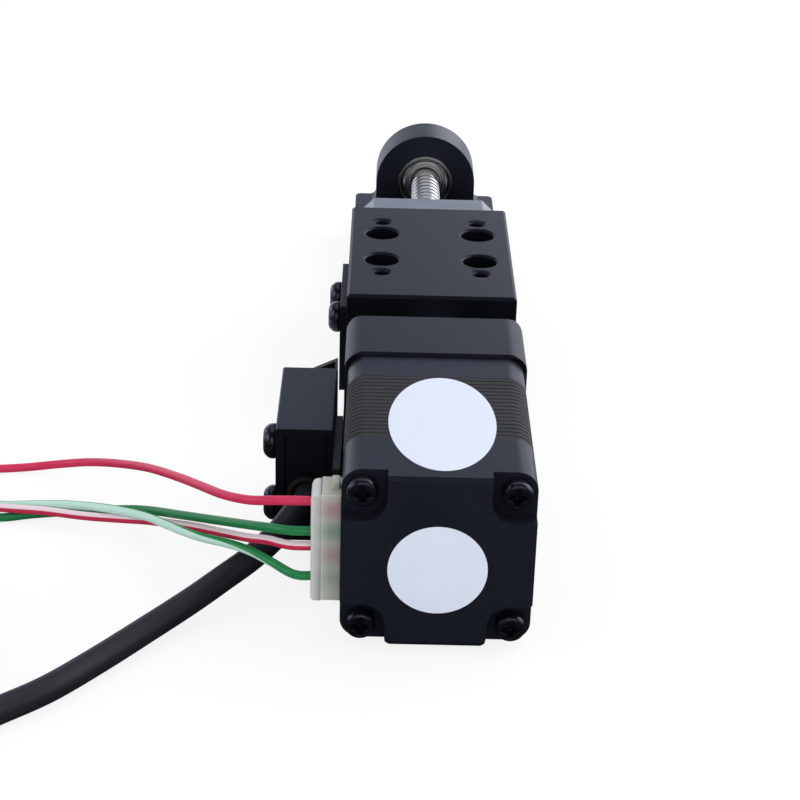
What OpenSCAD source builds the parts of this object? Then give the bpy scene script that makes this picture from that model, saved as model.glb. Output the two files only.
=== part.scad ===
// Ball screw stage. A carriage runs in a U-shaped steel rail and is moved by a ball screw,
// whose near end is the shaft of a 28 mm stepping motor. Millimetres, +Y from the motor to
// the far end. The origin is on the rail's underside, midway between its mounting holes.

/* [Rail] */
// Length of the rail
rail_len = 113; // [110:1:125]
// Width over the rail's two walls
rail_w = 30; // [29.6:0.2:31]
// Height of the rail's walls
rail_h = 9.1; // [8.8:0.1:9.4]
// Thickness of the rail's floor
rail_floor = 3.1; // [2.8:0.1:3.3]
// Thickness of each wall
rail_wall = 3; // [2.9:0.1:3]
// Distance between the mounting holes across the rail
rail_hole_x = 14; // [12:1:15]
// Distance between the mounting holes along the rail
rail_hole_y = 72; // [60:1:80]

/* [Screw] */
// Height of the screw's axis over the rail's underside
axis_h = 15; // [14.8:0.1:15.2]
// Outer diameter of the thread
screw_d = 6; // [5.8:0.1:6]
// Travel of the nut in one turn
lead = 2; // [1:0.5:2]

/* [Motor] */
// Width and height of the motor
motor_w = 28; // [27.5:0.1:28.5]
// Length of the motor from its rear face to the bearing housing
motor_len = 40.4; // [40:0.2:41]
// Length of the rear cover
rear_cover_len = 12.7; // [12:0.1:13]
// Length of the front bell without its pilot
front_bell_len = 7.4; // [7:0.1:8]
// Radius of the motor's long edges
motor_corner = 3; // [2:0.25:3.5]
// Chamfer round the rear face
rear_chamfer = 0.6; // [0.2:0.1:0.8]
// Distance of the through screws from the axis, across and up
motor_screw_at = 11; // [10.8:0.1:11.2]

/* [Bearing housing] */
// Length of the housing
housing_len = 14.8; // [14.6:0.1:15.4]
// Width and height of the housing
housing_w = 29.1; // [28.6:0.1:29.1]
// Radius of its long edges
housing_corner = 3; // [2:0.25:3.5]
// Chamfer round its two end faces
housing_chamfer = 0.4; // [0.1:0.1:0.6]

/* [Far support] */
// Length of the support along the screw
support_len = 9.3; // [9:0.1:10]
// Radius of its arch
arch_r = 10.56; // [10:0.1:11.5]

/* [Carriage] */
// Width of the table
table_w = 30; // [29:0.5:32]
// Length of the table
table_len = 44; // [43:0.5:46]
// Height of the table's top face
table_top = 24; // [23.9:0.1:26]
// Distance between the table's holes across the screw
table_hole_x = 18; // [17.6:0.1:18.4]
// Distance between the tapped holes along the screw
tapped_y = 25; // [24:0.5:26]
// Distance between the counterbored holes along the screw
counterbored_y = 13; // [12:0.5:13.5]
// Length of the end block that clamps the nut
block_len = 7.7; // [7.6:0.1:8.5]
// Height of the end block's top face
block_top = 23; // [22.9:0.1:24]
// Chamfer along the end block's top edges
block_chamfer = 3; // [1:0.25:3]

/* [Sensor] */
// Length of the sensor along the screw
sensor_len = 22.3; // [22:0.1:24]
// Width of the sensor
sensor_w = 9.05; // [8.6:0.05:10]
// Height of the sensor
sensor_h = 19.7; // [19.4:0.1:21]
// Thickness of its sheet-metal bracket
sheet = 1.2; // [1:0.1:1.2]

/* [Cords] */
// Diameter of the sensor's cable
cable_d = 4; // [3.6:0.1:4]
// Diameter of each motor lead
lead_d = 1.4; // [1.2:0.1:1.4]

/* [Hidden] */
$fn = 48;
over = 1;            // a cutting tool runs this far past the face it opens

// Stations along the screw
rail_y0 = -rail_len / 2;
rail_y1 = rail_len / 2;
housing_y0 = rail_y0 - housing_len;
motor_y0 = housing_y0 - motor_len;
stack_y0 = motor_y0 + rear_cover_len;
stack_y1 = housing_y0 - front_bell_len;
support_y0 = rail_y1 - support_len;
table_y1 = 8.6;
table_y0 = table_y1 - table_len;
block_y1 = table_y1 + block_len;

// Shaft bearings, 5 x 13 x 4: two in the motor and a pair in the housing
bearing_w = 4;
bearing_r = 6.5;
bearing_bore = 2.5;
ball_r = 1;
ball_circle = 4.5;
pilot_len = 2;
pilot_r = 11;
housing_seat_y1 = rail_y0 - 2.1;
bell_seat_y1 = housing_y0 + 0.4;
rear_seat_y0 = motor_y0 + 4.3;
washer_t = 0.4;
shaft_bearing_y = [
    rear_seat_y0 + washer_t, bell_seat_y1 - bearing_w,
    housing_seat_y1 - 2 * bearing_w, housing_seat_y1 - bearing_w
];
// Far bearing, 4 x 12 x 4
far_y0 = support_y0 + 0.5;
far_r = 6;
far_bore = 2;
far_ball_circle = 4;
// A ring in its seat, and a ball in the outer ring's groove
seat_fit = 0.02;
groove_fit = 0.02;
// A ball clear of the inner ring's groove
inner_fit = 0.15;

thread_r = screw_d / 2;
thread_fit = 0.06;
rail_inner = rail_w / 2 - rail_wall;
guide_x = rail_inner - 0.2;
guide_z = 6.5;
guide_ball_r = 0.8;
keel_z = 8.2;
keel_half = rail_inner - 0.6;
table_z0 = rail_h + 0.5;
motor_cavity = 12.2;
rotor_r = 8.8;
pole_face = 9;
motor_half = motor_w / 2;

// ---------- shapes that several pieces share ----------

module box(x, y, z)
    translate([x[0], y[0], z[0]]) cube([x[1] - x[0], y[1] - y[0], z[1] - z[0]]);

// A drawing in X and Z, carried along Y
module along_y(y0, y1)
    translate([0, y1, 0]) rotate([90, 0, 0]) linear_extrude(y1 - y0) children();

// A drawing in Y and Z, carried along X
module along_x(x0, x1)
    translate([x0, 0, 0]) rotate([90, 0, 90]) linear_extrude(x1 - x0) children();

module bar_x(r, x0, x1, y, z)
    translate([x0, y, z]) rotate([0, 90, 0]) cylinder(h = x1 - x0, r = r);

module bar_y(r, y0, y1, x = 0, z = axis_h)
    translate([x, y1, z]) rotate([90, 0, 0]) cylinder(h = y1 - y0, r = r);

module bar_z(r, z0, z1, x, y)
    translate([x, y, z0]) cylinder(h = z1 - z0, r = r);

module ring_y(r_out, r_in, y0, y1)
    difference() {
        bar_y(r_out, y0, y1);
        bar_y(r_in, y0 - over, y1 + over);
    }

// A square with round corners, drawn from true circles
module rounded(w, h, r) {
    square([w - 2 * r, h], center = true);
    square([w, h - 2 * r], center = true);
    for (sx = [-1, 1], sz = [-1, 1])
        translate([sx * (w / 2 - r), sz * (h / 2 - r)]) circle(r);
}

module square_on_axis(w, r)
    translate([0, axis_h]) rounded(w, w, r);

// The right half of an outline, from its lowest point up, and its mirror image
function both_sides(half) = concat(
    half, [for (i = [len(half) - 1:-1:0]) [-half[i][0], half[i][1]]]
);

// Outline of a body from y0 to y1 and from low to high, with its corners cut at each end
function ends_cut(y0, y1, low, high, c0, c1) = [
    [y0 + c0, low], [y1 - c1, low], [y1, low + c1], [y1, high - c1],
    [y1 - c1, high], [y0 + c0, high], [y0, high - c0], [y0, low + c0]
];

// Square body on the axis whose end faces have a chamfer of c0 and c1 round them
module square_body(w, r, y0, y1, c0, c1)
    intersection() {
        along_y(y0, y1) square_on_axis(w, r);
        along_x(-w, w) polygon(ends_cut(y0, y1, axis_h - w / 2, axis_h + w / 2, c0, c1));
        linear_extrude(2 * w) mirror([1, 0]) rotate(90)
            polygon(ends_cut(y0, y1, -w / 2, w / 2, c0, c1));
    }

// Copies at the four corners of a square about the screw's axis
module at_corners(at)
    for (sx = [-1, 1], sz = [-1, 1])
        translate([sx * at, 0, axis_h + sz * at]) children();

// A turn about the screw's axis
module about_axis(angle)
    translate([0, 0, axis_h]) rotate([0, angle, 0]) translate([0, 0, -axis_h]) children();

// Raceway groove about the screw's axis
module raceway(circle_r, groove_r, y)
    translate([0, y, axis_h]) rotate([90, 0, 0])
        rotate_extrude() translate([circle_r, 0]) circle(groove_r);

module ball_ring(count, circle_r, r, y)
    for (k = [0:count - 1])
        about_axis(360 * k / count) translate([0, y, axis_h + circle_r]) sphere(r, $fn = 20);

// Pan head standing on the plane Z = 0, with its shank below it
module pan_screw(head_r, head_h, shank_r, length) {
    cylinder(h = head_h * 0.55, r = head_r);
    translate([0, 0, head_h * 0.55]) cylinder(h = head_h * 0.45, r1 = head_r, r2 = head_r * 0.68);
    translate([0, 0, -length]) cylinder(h = length + 0.1, r = shank_r);
}

// Socket head standing on the plane Z = 0, with its shank below it
module socket_screw(head_r, head_h, shank_r, length) {
    cylinder(h = head_h - 0.2, r = head_r);
    translate([0, 0, head_h - 0.2]) cylinder(h = 0.2, r1 = head_r, r2 = head_r - 0.2);
    translate([0, 0, -length]) cylinder(h = length + 0.1, r = shank_r);
}

// Countersunk screw whose head's flat face is on the plane Z = 0, pointing up
module countersunk_screw(head_r, shank_r, length) {
    cylinder(h = head_r - shank_r, r1 = head_r, r2 = shank_r);
    cylinder(h = length, r = shank_r);
}

module pattern(dx, dy)
    for (sx = [-1, 1], sy = [-1, 1])
        translate([sx * dx / 2, sy * dy / 2, 0]) children();

// ---------- rail ----------

rail_chamfer = 0.4;
near_csk = [5.5, rail_y0 + 4];
far_csk = [9, rail_y1 - 4.65];
csk_head_r = 2.9;
m3_r = 1.5;
m3_tap = 1.25;
m3_clear = 1.7;
m25_r = 1.25;
m25_tap = 1.05;
m25_clear = 1.35;

module rail_section()
    polygon(both_sides([
        [rail_w / 2 - rail_chamfer, 0], [rail_w / 2, rail_chamfer],
        [rail_w / 2, rail_h - rail_chamfer], [rail_w / 2 - rail_chamfer, rail_h],
        [rail_inner + 0.3, rail_h], [rail_inner, rail_h - 0.3], [rail_inner, rail_floor]
    ]));

module base_rail()
    color("dimgray") difference() {
        union() {
            along_y(rail_y0, support_y0) rail_section();
            box([-rail_w / 2, rail_w / 2], [support_y0 - over, rail_y1], [0, rail_floor]);
        }
        for (side = [-1, 1])
            bar_y(guide_ball_r + 0.05, rail_y0 - over, support_y0 + over, side * guide_x, guide_z);
        pattern(rail_hole_x, rail_hole_y) {
            translate([0, 0, -over]) cylinder(h = rail_floor + 2 * over, r = m3_clear);
            translate([0, 0, rail_floor - 1.7]) cylinder(h = 1.7 + over, r = 3.1);
        }
        for (at = [near_csk, far_csk], side = [-1, 1])
            translate([side * at[0], at[1], 0]) {
                translate([0, 0, -over]) cylinder(h = rail_floor + 2 * over, r = m3_clear);
                cylinder(h = csk_head_r - m3_r, r1 = csk_head_r + 0.2, r2 = m3_clear);
                translate([0, 0, -over]) cylinder(h = over, r = csk_head_r + 0.2);
            }
    }

module rail_screws()
    color("silver") for (side = [-1, 1]) {
        translate([side * near_csk[0], near_csk[1], 0.1])
            countersunk_screw(csk_head_r, m3_tap, 6.9);
        translate([side * far_csk[0], far_csk[1], 0.1])
            countersunk_screw(csk_head_r, m3_tap, 7.9);
    }

// ---------- bearing housing ----------

housing_screw_at = 11.5;
tongue_half = 8.8;
tongue_len = 8;
tongue_top = 8;
cap_head_r = 2.25;
cap_head_h = 2.5;

module bearing_housing()
    color("#17191d") difference() {
        union() {
            square_body(housing_w, housing_corner, housing_y0, rail_y0,
                housing_chamfer, housing_chamfer);
            box([-tongue_half, tongue_half], [rail_y0 - over, rail_y0 + tongue_len],
                [rail_floor, tongue_top]);
        }
        bar_y(pilot_r + seat_fit, housing_y0 - over, housing_y0 + pilot_len + 0.05);
        bar_y(bearing_r + seat_fit, housing_y0 - over, housing_seat_y1);
        bar_y(thread_r + 1.5, housing_y0 - over, rail_y0 + tongue_len + over);
        at_corners(housing_screw_at) {
            bar_y(m25_clear, housing_y0 - over, rail_y0 + over, 0, 0);
            bar_y(cap_head_r + 0.2, rail_y0 - cap_head_h - 0.3, rail_y0 + over, 0, 0);
        }
        for (side = [-1, 1]) {
            bar_z(m3_tap, rail_floor - over, 7.2, side * near_csk[0], near_csk[1]);
            for (y = bracket_screw_y)
                bar_x(m25_tap, -housing_w / 2 - over, -9.8, y, bracket_screw_z);
        }
    }

module housing_screws()
    color("#202226") at_corners(housing_screw_at)
        translate([0, rail_y0 - cap_head_h - 0.3, 0]) rotate([-90, 0, 0])
            socket_screw(cap_head_r, cap_head_h, m25_tap, 14.6);

// ---------- far support ----------

shoulder_z = 9.13;
shoulder_corner = 1.3;
arch_fillet = 1.4;

// A half circle on straight sides, which run into the shoulders with a fillet
module arch_face() {
    translate([0, axis_h]) circle(arch_r, $fn = 96);
    translate([-arch_r, shoulder_z - 0.1]) square([2 * arch_r, axis_h - shoulder_z + 0.1]);
    translate([-rail_w / 2, rail_floor]) square([rail_w, shoulder_z - rail_floor]);
    for (side = [-1, 1]) difference() {
        translate([side * (arch_r + arch_fillet / 2), shoulder_z + arch_fillet / 2 - 0.05])
            square([arch_fillet + 0.1, arch_fillet + 0.1], center = true);
        translate([side * (arch_r + arch_fillet), shoulder_z + arch_fillet]) circle(arch_fillet);
    }
}

// Plan outline with round corners on the shoulders
module support_plan()
    translate([0, (support_y0 + rail_y1) / 2]) rounded(rail_w, support_len, shoulder_corner);

module far_support()
    color("#17191d") difference() {
        intersection() {
            along_y(support_y0, rail_y1) arch_face();
            linear_extrude(axis_h + arch_r + over) support_plan();
        }
        bar_y(far_r + seat_fit, support_y0 - over, far_y0 + bearing_w + 0.05);
        bar_y(4.6, support_y0 - over, rail_y1 + over);
        for (side = [-1, 1])
            bar_z(m3_tap, rail_floor - over, 8.4, side * far_csk[0], far_csk[1]);
    }

// ---------- motor ----------

pocket_x = 7.4;
pocket_z = 6.9;
pocket_depth = 2.5;
pocket_round = 3.5;
pan_head_r = 2.25;
pan_head_h = 2.2;
window_half = 6.9;
rib_count = 17;
rib_gap = 0.3;
rib_depth = 0.15;
pole_count = 8;

// One screw pocket in the rear cover's face, with its inner corner round
module pocket_outline() {
    translate([pocket_x + pocket_round, pocket_z]) square([motor_half, motor_half]);
    translate([pocket_x, pocket_z + pocket_round]) square([motor_half, motor_half]);
    translate([pocket_x + pocket_round, pocket_z + pocket_round]) circle(pocket_round);
}

module motor_rear_cover()
    color("#17191d") difference() {
        square_body(motor_w, motor_corner, motor_y0, stack_y0, rear_chamfer, 0);
        along_y(motor_y0 - over, motor_y0 + pocket_depth)
            translate([0, axis_h]) for (sx = [0, 1], sz = [0, 1])
                mirror([sx, 0]) mirror([0, sz]) pocket_outline();
        bar_y(motor_cavity, stack_y0 - 3.8, stack_y0 + over);
        bar_y(bearing_r + seat_fit, rear_seat_y0 - 0.1, stack_y0 + over);
        bar_y(bearing_bore + 0.3, rear_seat_y0 - 1.2, stack_y0 + over);
        at_corners(motor_screw_at) bar_y(m25_clear, motor_y0, stack_y0 + over, 0, 0);
        box([-motor_half - over, -9], [header_y[0] + 0.9, stack_y0 - 2],
            [axis_h - window_half, axis_h + window_half]);
    }

module stator_core()
    color("#3a3a3c") {
        rib_pitch = (stack_y1 - stack_y0 + rib_gap) / rib_count;
        difference() {
            union() {
                along_y(stack_y0, stack_y1) square_on_axis(motor_w - 2 * rib_depth, motor_corner);
                for (k = [0:rib_count - 1])
                    along_y(stack_y0 + k * rib_pitch, stack_y0 + (k + 1) * rib_pitch - rib_gap)
                        square_on_axis(motor_w, motor_corner);
            }
            bar_y(motor_cavity, stack_y0 - over, stack_y1 + over);
            at_corners(motor_screw_at) bar_y(m25_clear, stack_y0 - over, stack_y1 + over, 0, 0);
        }
        for (k = [0:pole_count - 1]) about_axis(360 * k / pole_count) stator_pole();
    }

// One pole: a neck from the frame and a shoe that faces the rotor
module stator_pole() {
    box([-1.6, 1.6], [stack_y0, stack_y1], [axis_h + 9.8, axis_h + motor_cavity + 0.3]);
    difference() {
        intersection() {
            bar_y(10.1, stack_y0, stack_y1);
            box([-2.9, 2.9], [stack_y0, stack_y1], [axis_h + pole_face - 1, axis_h + 11]);
        }
        bar_y(pole_face, stack_y0 - over, stack_y1 + over);
    }
}

module motor_windings()
    color("#b87333") for (k = [0:pole_count - 1])
        about_axis(360 * k / pole_count) difference() {
            box([-3.1, 3.1], [stack_y0 - 3.3, stack_y1 + 3.1], [axis_h + 10.15, axis_h + 11.75]);
            box([-1.6, 1.6], [stack_y0, stack_y1], [axis_h, axis_h + motor_cavity]);
        }

module motor_front_bell()
    color("#17191d") difference() {
        union() {
            along_y(stack_y1, housing_y0) square_on_axis(motor_w, motor_corner);
            bar_y(pilot_r, housing_y0 - over, housing_y0 + pilot_len);
        }
        bar_y(motor_cavity, stack_y1 - over, bell_seat_y1 - bearing_w - 0.3);
        bar_y(bearing_r + seat_fit, stack_y1 - over, bell_seat_y1);
        bar_y(3.5, stack_y1 - over, housing_y0 + pilot_len + over);
        at_corners(motor_screw_at) bar_y(m25_tap, stack_y1 - over, housing_y0 - 3, 0, 0);
        at_corners(housing_screw_at) bar_y(m25_tap, housing_y0 - 2.7, housing_y0 + over, 0, 0);
    }

module motor_through_screws()
    color("#202226") at_corners(motor_screw_at)
        translate([0, motor_y0 + pocket_depth, 0]) rotate([90, 0, 0])
            pan_screw(pan_head_r, pan_head_h, m25_tap, motor_len - pocket_depth - 3.2);

module wave_washer()
    color("silver") ring_y(6.2, 4.6, rear_seat_y0, rear_seat_y0 + washer_t);

// ---------- bearings and what keeps them ----------

module shaft_bearing_outers()
    color("silver") for (y = shaft_bearing_y) difference() {
        ring_y(bearing_r, 5.25, y, y + bearing_w);
        raceway(ball_circle, ball_r + groove_fit, y + bearing_w / 2);
    }

module shaft_bearing_inners()
    color("silver") for (y = shaft_bearing_y) difference() {
        ring_y(3.75, bearing_bore, y, y + bearing_w);
        raceway(ball_circle, ball_r + inner_fit, y + bearing_w / 2);
    }

module bearing_balls()
    color("gainsboro") {
        for (y = shaft_bearing_y) ball_ring(9, ball_circle, ball_r, y + bearing_w / 2);
        ball_ring(8, far_ball_circle, ball_r, far_y0 + bearing_w / 2);
    }

module bearing_retainer()
    color("#2a2c30") ring_y(bearing_r, 4.9, housing_y0 + pilot_len + 0.8,
        shaft_bearing_y[2]);

module screw_seal()
    color("#202020") ring_y(thread_r + 1.5, thread_r + thread_fit, housing_seat_y1 + 0.3,
        rail_y0 - 0.3);

module far_bearing_outer()
    color("silver") difference() {
        ring_y(far_r, 4.9, far_y0, far_y0 + bearing_w);
        raceway(far_ball_circle, ball_r + groove_fit, far_y0 + bearing_w / 2);
    }

module far_bearing_inner()
    color("silver") difference() {
        ring_y(3.1, far_bore, far_y0, far_y0 + bearing_w);
        raceway(far_ball_circle, ball_r + inner_fit, far_y0 + bearing_w / 2);
    }

module far_bearing_shields()
    color("#8a8680") for (y = [far_y0 + 0.15, far_y0 + bearing_w - 0.4])
        ring_y(4.9, 3.4, y, y + 0.25);

module snap_ring()
    color("silver") difference() {
        ring_y(3.5, far_bore, far_y0 + bearing_w + 0.1, far_y0 + bearing_w + 0.7);
        box([-0.7, 0.7], [far_y0, rail_y1], [axis_h - 4, axis_h - 1]);
    }

// ---------- screw and rotor ----------

thread_y1 = support_y0 - 0.6;
journal_y1 = rail_y1 - 1.6;
shaft_y0 = motor_y0 + 3.7;
rotor_len = 8;
magnet_len = 3;
rotor_y0 = stack_y0 + 0.6;
tooth_count = 50;

module screw_shaft()
    color("silver") {
        bar_y(bearing_bore, shaft_y0, housing_seat_y1 + 0.1);
        bar_y(thread_r, housing_seat_y1, thread_y1);
        bar_y(far_bore + 0.7, thread_y1 - 0.1, far_y0);
        bar_y(far_bore, far_y0 - 0.1, journal_y1);
    }

// Outline of one rotor stack: each tooth has two points at the tip and two at the root
function tooth_points(count, tip, root) = [
    for (k = [0:count - 1], q = [[-0.25, tip], [0.25, tip], [0.3, root], [0.7, root]])
        let (a = 360 * (k + q[0]) / count) [q[1] * cos(a), q[1] * sin(a)]
];

module rotor_stack(y, turn)
    difference() {
        along_y(y, y + rotor_len) translate([0, axis_h])
            rotate(turn) polygon(tooth_points(tooth_count, rotor_r, rotor_r - 0.5));
        bar_y(bearing_bore, y - over, y + rotor_len + over);
    }

// The two stacks are half a tooth apart, as in any hybrid stepping motor
module rotor_stacks()
    color("#55575a") {
        rotor_stack(rotor_y0, 0);
        rotor_stack(rotor_y0 + rotor_len + magnet_len, 180 / tooth_count);
    }

module rotor_magnet()
    color("#404246") ring_y(rotor_r - 0.8, bearing_bore, rotor_y0 + rotor_len,
        rotor_y0 + rotor_len + magnet_len);

module rotor_spacers()
    color("gray") {
        ring_y(3.5, bearing_bore, shaft_bearing_y[0] + bearing_w, rotor_y0);
        ring_y(3.5, bearing_bore, rotor_y0 + 2 * rotor_len + magnet_len, shaft_bearing_y[1]);
    }

module lock_nut()
    color("#2a2c30") difference() {
        ring_y(thread_r + 1.5, bearing_bore, shaft_bearing_y[2] - 2.3, shaft_bearing_y[2]);
        for (angle = [0, 90, 180, 270]) about_axis(angle)
            box([-0.6, 0.6], [shaft_bearing_y[2] - 3, shaft_bearing_y[2] - 1],
                [axis_h + 3.7, axis_h + 5]);
    }

// ---------- carriage ----------

table_edge = 0.5;
counterbore_r = 3.05;
counterbore_depth = 6;
table_screw_len = 13.4;
mouth = 0.35;
// The two hole patterns share their middle
table_holes_y = table_y1 - 20.4;
m3_head_r = 2.75;
nut_r = 6;
nut_y0 = table_y1 - 17;
flange_r = 8.5;
flange_half = 6.2;
flange_len = 3;
runner_y = [table_y1 - 32.4, table_y1 + 0.4];
runner_half = guide_x - 0.2;
runner_z0 = rail_floor + 0.5;
cap_len = 3;
seal_len = 0.5;
block_half = table_w / 2 - 1.25;
block_screw_x = 10.2;
block_screw_z = [axis_h + 4.5, axis_h - 2.4];

module table_section()
    polygon(both_sides([
        [keel_half, keel_z], [keel_half, table_z0],
        [table_w / 2 - table_edge, table_z0], [table_w / 2, table_z0 + table_edge],
        [table_w / 2, table_top - table_edge], [table_w / 2 - table_edge, table_top]
    ]));

module table_length()
    polygon([
        [table_y0, keel_z], [table_y1, keel_z], [table_y1, table_top - table_edge],
        [table_y1 - table_edge, table_top], [table_y0 + table_edge, table_top],
        [table_y0, table_top - table_edge]
    ]);

// A hole's small chamfer in the table's top face
module hole_mouth(r)
    translate([0, 0, table_top - mouth]) cylinder(h = mouth, r1 = r, r2 = r + mouth);

module table()
    color("#1b1d21") difference() {
        intersection() {
            along_y(table_y0, table_y1) table_section();
            along_x(-table_w, table_w) table_length();
        }
        bar_y(nut_r + seat_fit, nut_y0, table_y1 + over);
        bar_y(4, table_y0 - over, table_y1);
        translate([0, table_holes_y, 0]) {
            pattern(table_hole_x, counterbored_y) {
                translate([0, 0, keel_z - over]) cylinder(h = table_top, r = m3_clear);
                translate([0, 0, table_top - counterbore_depth])
                    cylinder(h = counterbore_depth + over, r = counterbore_r);
                hole_mouth(counterbore_r);
            }
            pattern(table_hole_x, tapped_y) {
                translate([0, 0, table_top - 8]) cylinder(h = 8 + over, r = m3_tap);
                hole_mouth(m3_tap);
            }
        }
        for (side = [-1, 1], z = block_screw_z)
            bar_y(m25_tap, table_y1 - 5.8, table_y1 + over, side * block_screw_x, z);
        for (y = flag_screw_y)
            bar_x(m3_tap, -table_w / 2 - over, -table_w / 2 + 4.2, y, flag_screw_z);
    }

module table_screws()
    color("#202226") translate([0, table_holes_y, table_top - counterbore_depth])
        pattern(table_hole_x, counterbored_y) socket_screw(m3_head_r, 3, m3_tap, table_screw_len);

module runner_block()
    color("#6d6f72") difference() {
        box([-runner_half, runner_half], runner_y, [runner_z0, keel_z]);
        for (side = [-1, 1]) {
            bar_y(guide_ball_r, runner_y[0] - over, runner_y[1] + over, side * guide_x, guide_z);
            // the balls come back through these
            bar_y(guide_ball_r + 0.1, runner_y[0] - over, runner_y[1] + over,
                side * 6.3, guide_z - 0.5);
        }
        translate([0, table_holes_y, 0]) pattern(table_hole_x, counterbored_y)
            translate([0, 0, table_top - counterbore_depth - table_screw_len - 0.4])
                cylinder(h = 9, r = m3_tap);
        for (y = runner_y, side = [-1, 1])
            bar_y(0.8, y - 3, y + 3, side * cap_screw_x, cap_screw_z);
    }

cap_screw_x = 3.2;
cap_screw_z = 5.8;

module runner_end_caps()
    color("#2d5f3a") for (y = [runner_y[0] - cap_len, runner_y[1]]) difference() {
        box([-runner_half, runner_half], [y, y + cap_len], [runner_z0, keel_z - 0.2]);
        for (side = [-1, 1]) bar_y(1, y - over, y + cap_len + over, side * cap_screw_x, cap_screw_z);
    }

module runner_seals()
    color("#202020") for (y = [runner_y[0] - cap_len - seal_len, runner_y[1] + cap_len])
        difference() {
            union() {
                box([-runner_half, runner_half], [y, y + seal_len], [runner_z0, keel_z - 0.3]);
                for (side = [-1, 1])
                    bar_y(guide_ball_r - 0.05, y, y + seal_len, side * guide_x, guide_z);
            }
            for (side = [-1, 1])
                bar_y(1, y - over, y + seal_len + over, side * cap_screw_x, cap_screw_z);
        }

module end_cap_screws()
    color("silver") for (side = [-1, 1]) translate([side * cap_screw_x, 0, cap_screw_z]) {
        translate([0, runner_y[0] - cap_len - seal_len, 0]) rotate([90, 0, 0])
            pan_screw(1.6, 0.6, 0.8, cap_len + seal_len + 2.8);
        translate([0, runner_y[1] + cap_len + seal_len, 0]) rotate([-90, 0, 0])
            pan_screw(1.6, 0.6, 0.8, cap_len + seal_len + 2.8);
    }

module guide_balls() {
    count = 18;
    step = (runner_y[1] - runner_y[0] - 2.6) / (count - 1);
    color("gainsboro") for (side = [-1, 1], k = [0:count - 1])
        translate([side * guide_x, runner_y[0] + 1.3 + k * step, guide_z])
            sphere(guide_ball_r, $fn = 20);
}

nut_ball_r = 0.6;
nut_ball_circle = thread_r + nut_ball_r + 0.05;
nut_turns = 3;
balls_per_turn = 16;

module nut_flange()
    intersection() {
        bar_y(flange_r, table_y1, table_y1 + flange_len);
        box([-flange_r, flange_r], [table_y1, table_y1 + flange_len],
            [axis_h - flange_half, axis_h + flange_half]);
    }

module ball_nut()
    color("#9a9ca0") difference() {
        union() {
            bar_y(nut_r, nut_y0, table_y1 + 0.1);
            nut_flange();
        }
        bar_y(thread_r + thread_fit, nut_y0 - over, table_y1 + flange_len + over);
        bar_y(nut_ball_circle + nut_ball_r, nut_y0 + 4, table_y1 - 3);
        bar_y(4.4, nut_y0 - over, nut_y0 + 1.5);
    }

// The loaded balls, on the helix of the thread
module nut_balls()
    color("gainsboro") for (k = [0:nut_turns * balls_per_turn - 1])
        about_axis(360 * k / balls_per_turn)
            translate([0, nut_y0 + 5.2 + lead * k / balls_per_turn, axis_h + nut_ball_circle])
                sphere(nut_ball_r, $fn = 16);

module nut_wipers()
    color("#202020") {
        ring_y(4.4, thread_r + thread_fit, nut_y0, nut_y0 + 1.5);
        ring_y(5, thread_r + thread_fit, block_y1 - 2, block_y1 - 0.5);
    }

module block_section()
    polygon(both_sides([
        [keel_half, keel_z + 0.1], [keel_half, table_z0], [block_half, table_z0],
        [block_half, block_top - block_chamfer], [block_half - block_chamfer, block_top]
    ]));

module nut_bracket()
    color("#8b8d90") difference() {
        along_y(table_y1, block_y1) block_section();
        bar_y(4, table_y1 - over, block_y1 + over);
        bar_y(5, block_y1 - 2.1, block_y1 + over);
        // seat of the nut's flange, open below
        intersection() {
            bar_y(flange_r + seat_fit, table_y1 - over, table_y1 + flange_len);
            box([-flange_r - over, flange_r + over], [table_y1 - over, table_y1 + flange_len],
                [keel_z - over, axis_h + flange_half + seat_fit]);
        }
        for (side = [-1, 1], z = block_screw_z) {
            bar_y(m25_clear, table_y1 - over, block_y1 + over, side * block_screw_x, z);
            bar_y(cap_head_r + 0.2, block_y1 - cap_head_h - 0.1, block_y1 + over,
                side * block_screw_x, z);
        }
    }

module nut_bracket_screws()
    color("#202226") for (side = [-1, 1], z = block_screw_z)
        translate([side * block_screw_x, block_y1 - cap_head_h - 0.1, z]) rotate([-90, 0, 0])
            socket_screw(cap_head_r, cap_head_h, m25_tap, 10.6);

// ---------- sensor, its bracket and its flag ----------

bracket_x1 = -housing_w / 2;
bracket_x0 = bracket_x1 - sheet;
bracket_low = 10;
bracket_tall = 19.8;
bracket_rear = rail_y0 - 35.9;
bracket_step = rail_y0 - 17.9;
bracket_z0 = 2.5;
bracket_screw_y = [rail_y0 - 10, rail_y0 - 5];
bracket_screw_z = 7.4;
flange_top = 21.6;
sensor_x = [bracket_x0 - sensor_w, bracket_x0];
sensor_y = [rail_y0 - 5.4 - sensor_len, rail_y0 - 5.4];
sensor_z = [bracket_z0, bracket_z0 + sensor_h];
sensor_screw_y = sensor_y[0] + 4.5;
sensor_screw_z = [bracket_z0 + 4.3, bracket_z0 + 15.3];
grommet_at = [sensor_x[0] + 4.85, bracket_z0 + 8.7];
grommet_r = 3;
grommet_lip = 1;
panel_x = [sensor_x[0] + 1.4, sensor_x[1] - 1.15];
panel_top = sensor_z[1] - 1.1;
shell = 1.2;
flag_y = [table_y1 - 37.8, table_y1 - 15.9];
flag_z = [2.3, 18.7];
flag_t = 1.3;
flag_screw_y = [table_y1 - 31.4, table_y1 - 22.2];
flag_screw_z = 14.2;

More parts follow.
